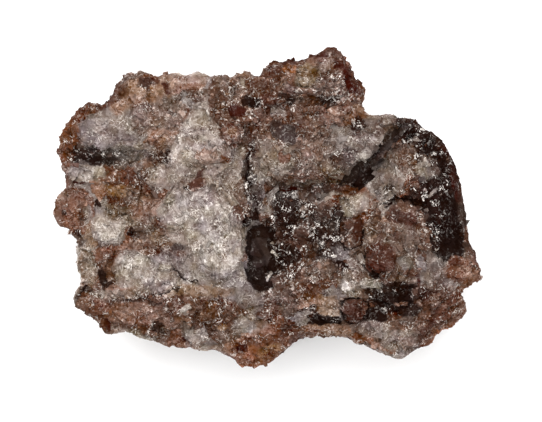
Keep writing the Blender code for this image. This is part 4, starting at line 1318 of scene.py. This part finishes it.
def stone_material(name):
    """The rock's stone."""
    stone = Stone(name)
    colour, dull, bumped = stone.colour(), stone.dullness(), stone.bumped()
    return stone.finish(Base_Color=colour, Roughness=dull, Normal=bumped, Specular_IOR_Level=SHEEN)


def plain_material(name, colour, roughness):
    """One even colour."""
    return Nodes(name).finish(Base_Color=(*colour, 1.0), Roughness=roughness)


# ---------------------------------------------------------------- the studio

# Lamps: name, place, size and power. They point at a place inside the rock, and the room lights the rest
# evenly.
LAMPS = [
    ("key", (-0.09, 0.42, 0.74), 0.85, 9.8),
    ("fill", (0.55, -0.25, 0.60), 0.50, 2.5),
    ("spark", (-0.30, -0.20, 0.80), 0.12, 1.5),
]
LAMP_TARGET = (0.0, 0.0, 0.02)
ROOM_COLOUR = (1.0, 1.0, 1.0, 1.0)
ROOM_STRENGTH = 0.70

# Half the floor's side in millimetres, its colour and its roughness.
FLOOR_REACH = 2000.0
FLOOR_COLOUR = (0.94, 0.94, 0.94)
FLOOR_ROUGHNESS = 0.9

# The camera looks straight down on the rock's middle.
CAMERA_LENS = 180.0
CAMERA_SENSOR = 36.0
CAMERA_PLACE = (0.00105, -0.00095, 0.7105)


def make_lamp(name, place, size, power):
    """A square lamp at this place, turned towards the rock, with +Y as its upward side."""
    light = bpy.data.lights.new(name, "AREA")
    light.size, light.energy = size, power
    lamp = bpy.data.objects.new(name, light)
    lamp.location = place
    lamp.rotation_euler = (Vector(place) - Vector(LAMP_TARGET)).to_track_quat("Z", "Y").to_euler()
    bpy.context.scene.collection.objects.link(lamp)


def make_studio():
    """A pale floor, soft lamps from behind and the sides, and the camera straight above."""
    scene = bpy.context.scene
    corners = FLOOR_REACH * np.array([(-1, -1, 0), (1, -1, 0), (1, 1, 0), (-1, 1, 0)])
    mesh = new_mesh("floor", corners, np.array([(0, 1, 2), (0, 2, 3)]))
    mesh.materials.append(plain_material("floor_white", FLOOR_COLOUR, FLOOR_ROUGHNESS))
    floor = bpy.data.objects.new("floor", mesh)
    scene.collection.objects.link(floor)
    for row in LAMPS:
        make_lamp(*row)
    scene.world = bpy.data.worlds.new("room")
    scene.world.use_nodes = True
    room = scene.world.node_tree.nodes["Background"]
    room.inputs["Color"].default_value = ROOM_COLOUR
    room.inputs["Strength"].default_value = ROOM_STRENGTH
    scene.view_settings.view_transform = "Standard"
    camera = bpy.data.objects.new("camera", bpy.data.cameras.new("camera"))
    camera.data.lens = CAMERA_LENS
    camera.data.sensor_width = CAMERA_SENSOR
    camera.location = CAMERA_PLACE
    scene.collection.objects.link(camera)
    scene.camera = camera


# ---------------------------------------------------------------- the rock

make_studio()
stone = stone_material("stone")
ground = make_skin(stone)
rng = np.random.default_rng(SEED + 3)
for row in GRAINS:
    make_grains(*row, stone, ground, rng)
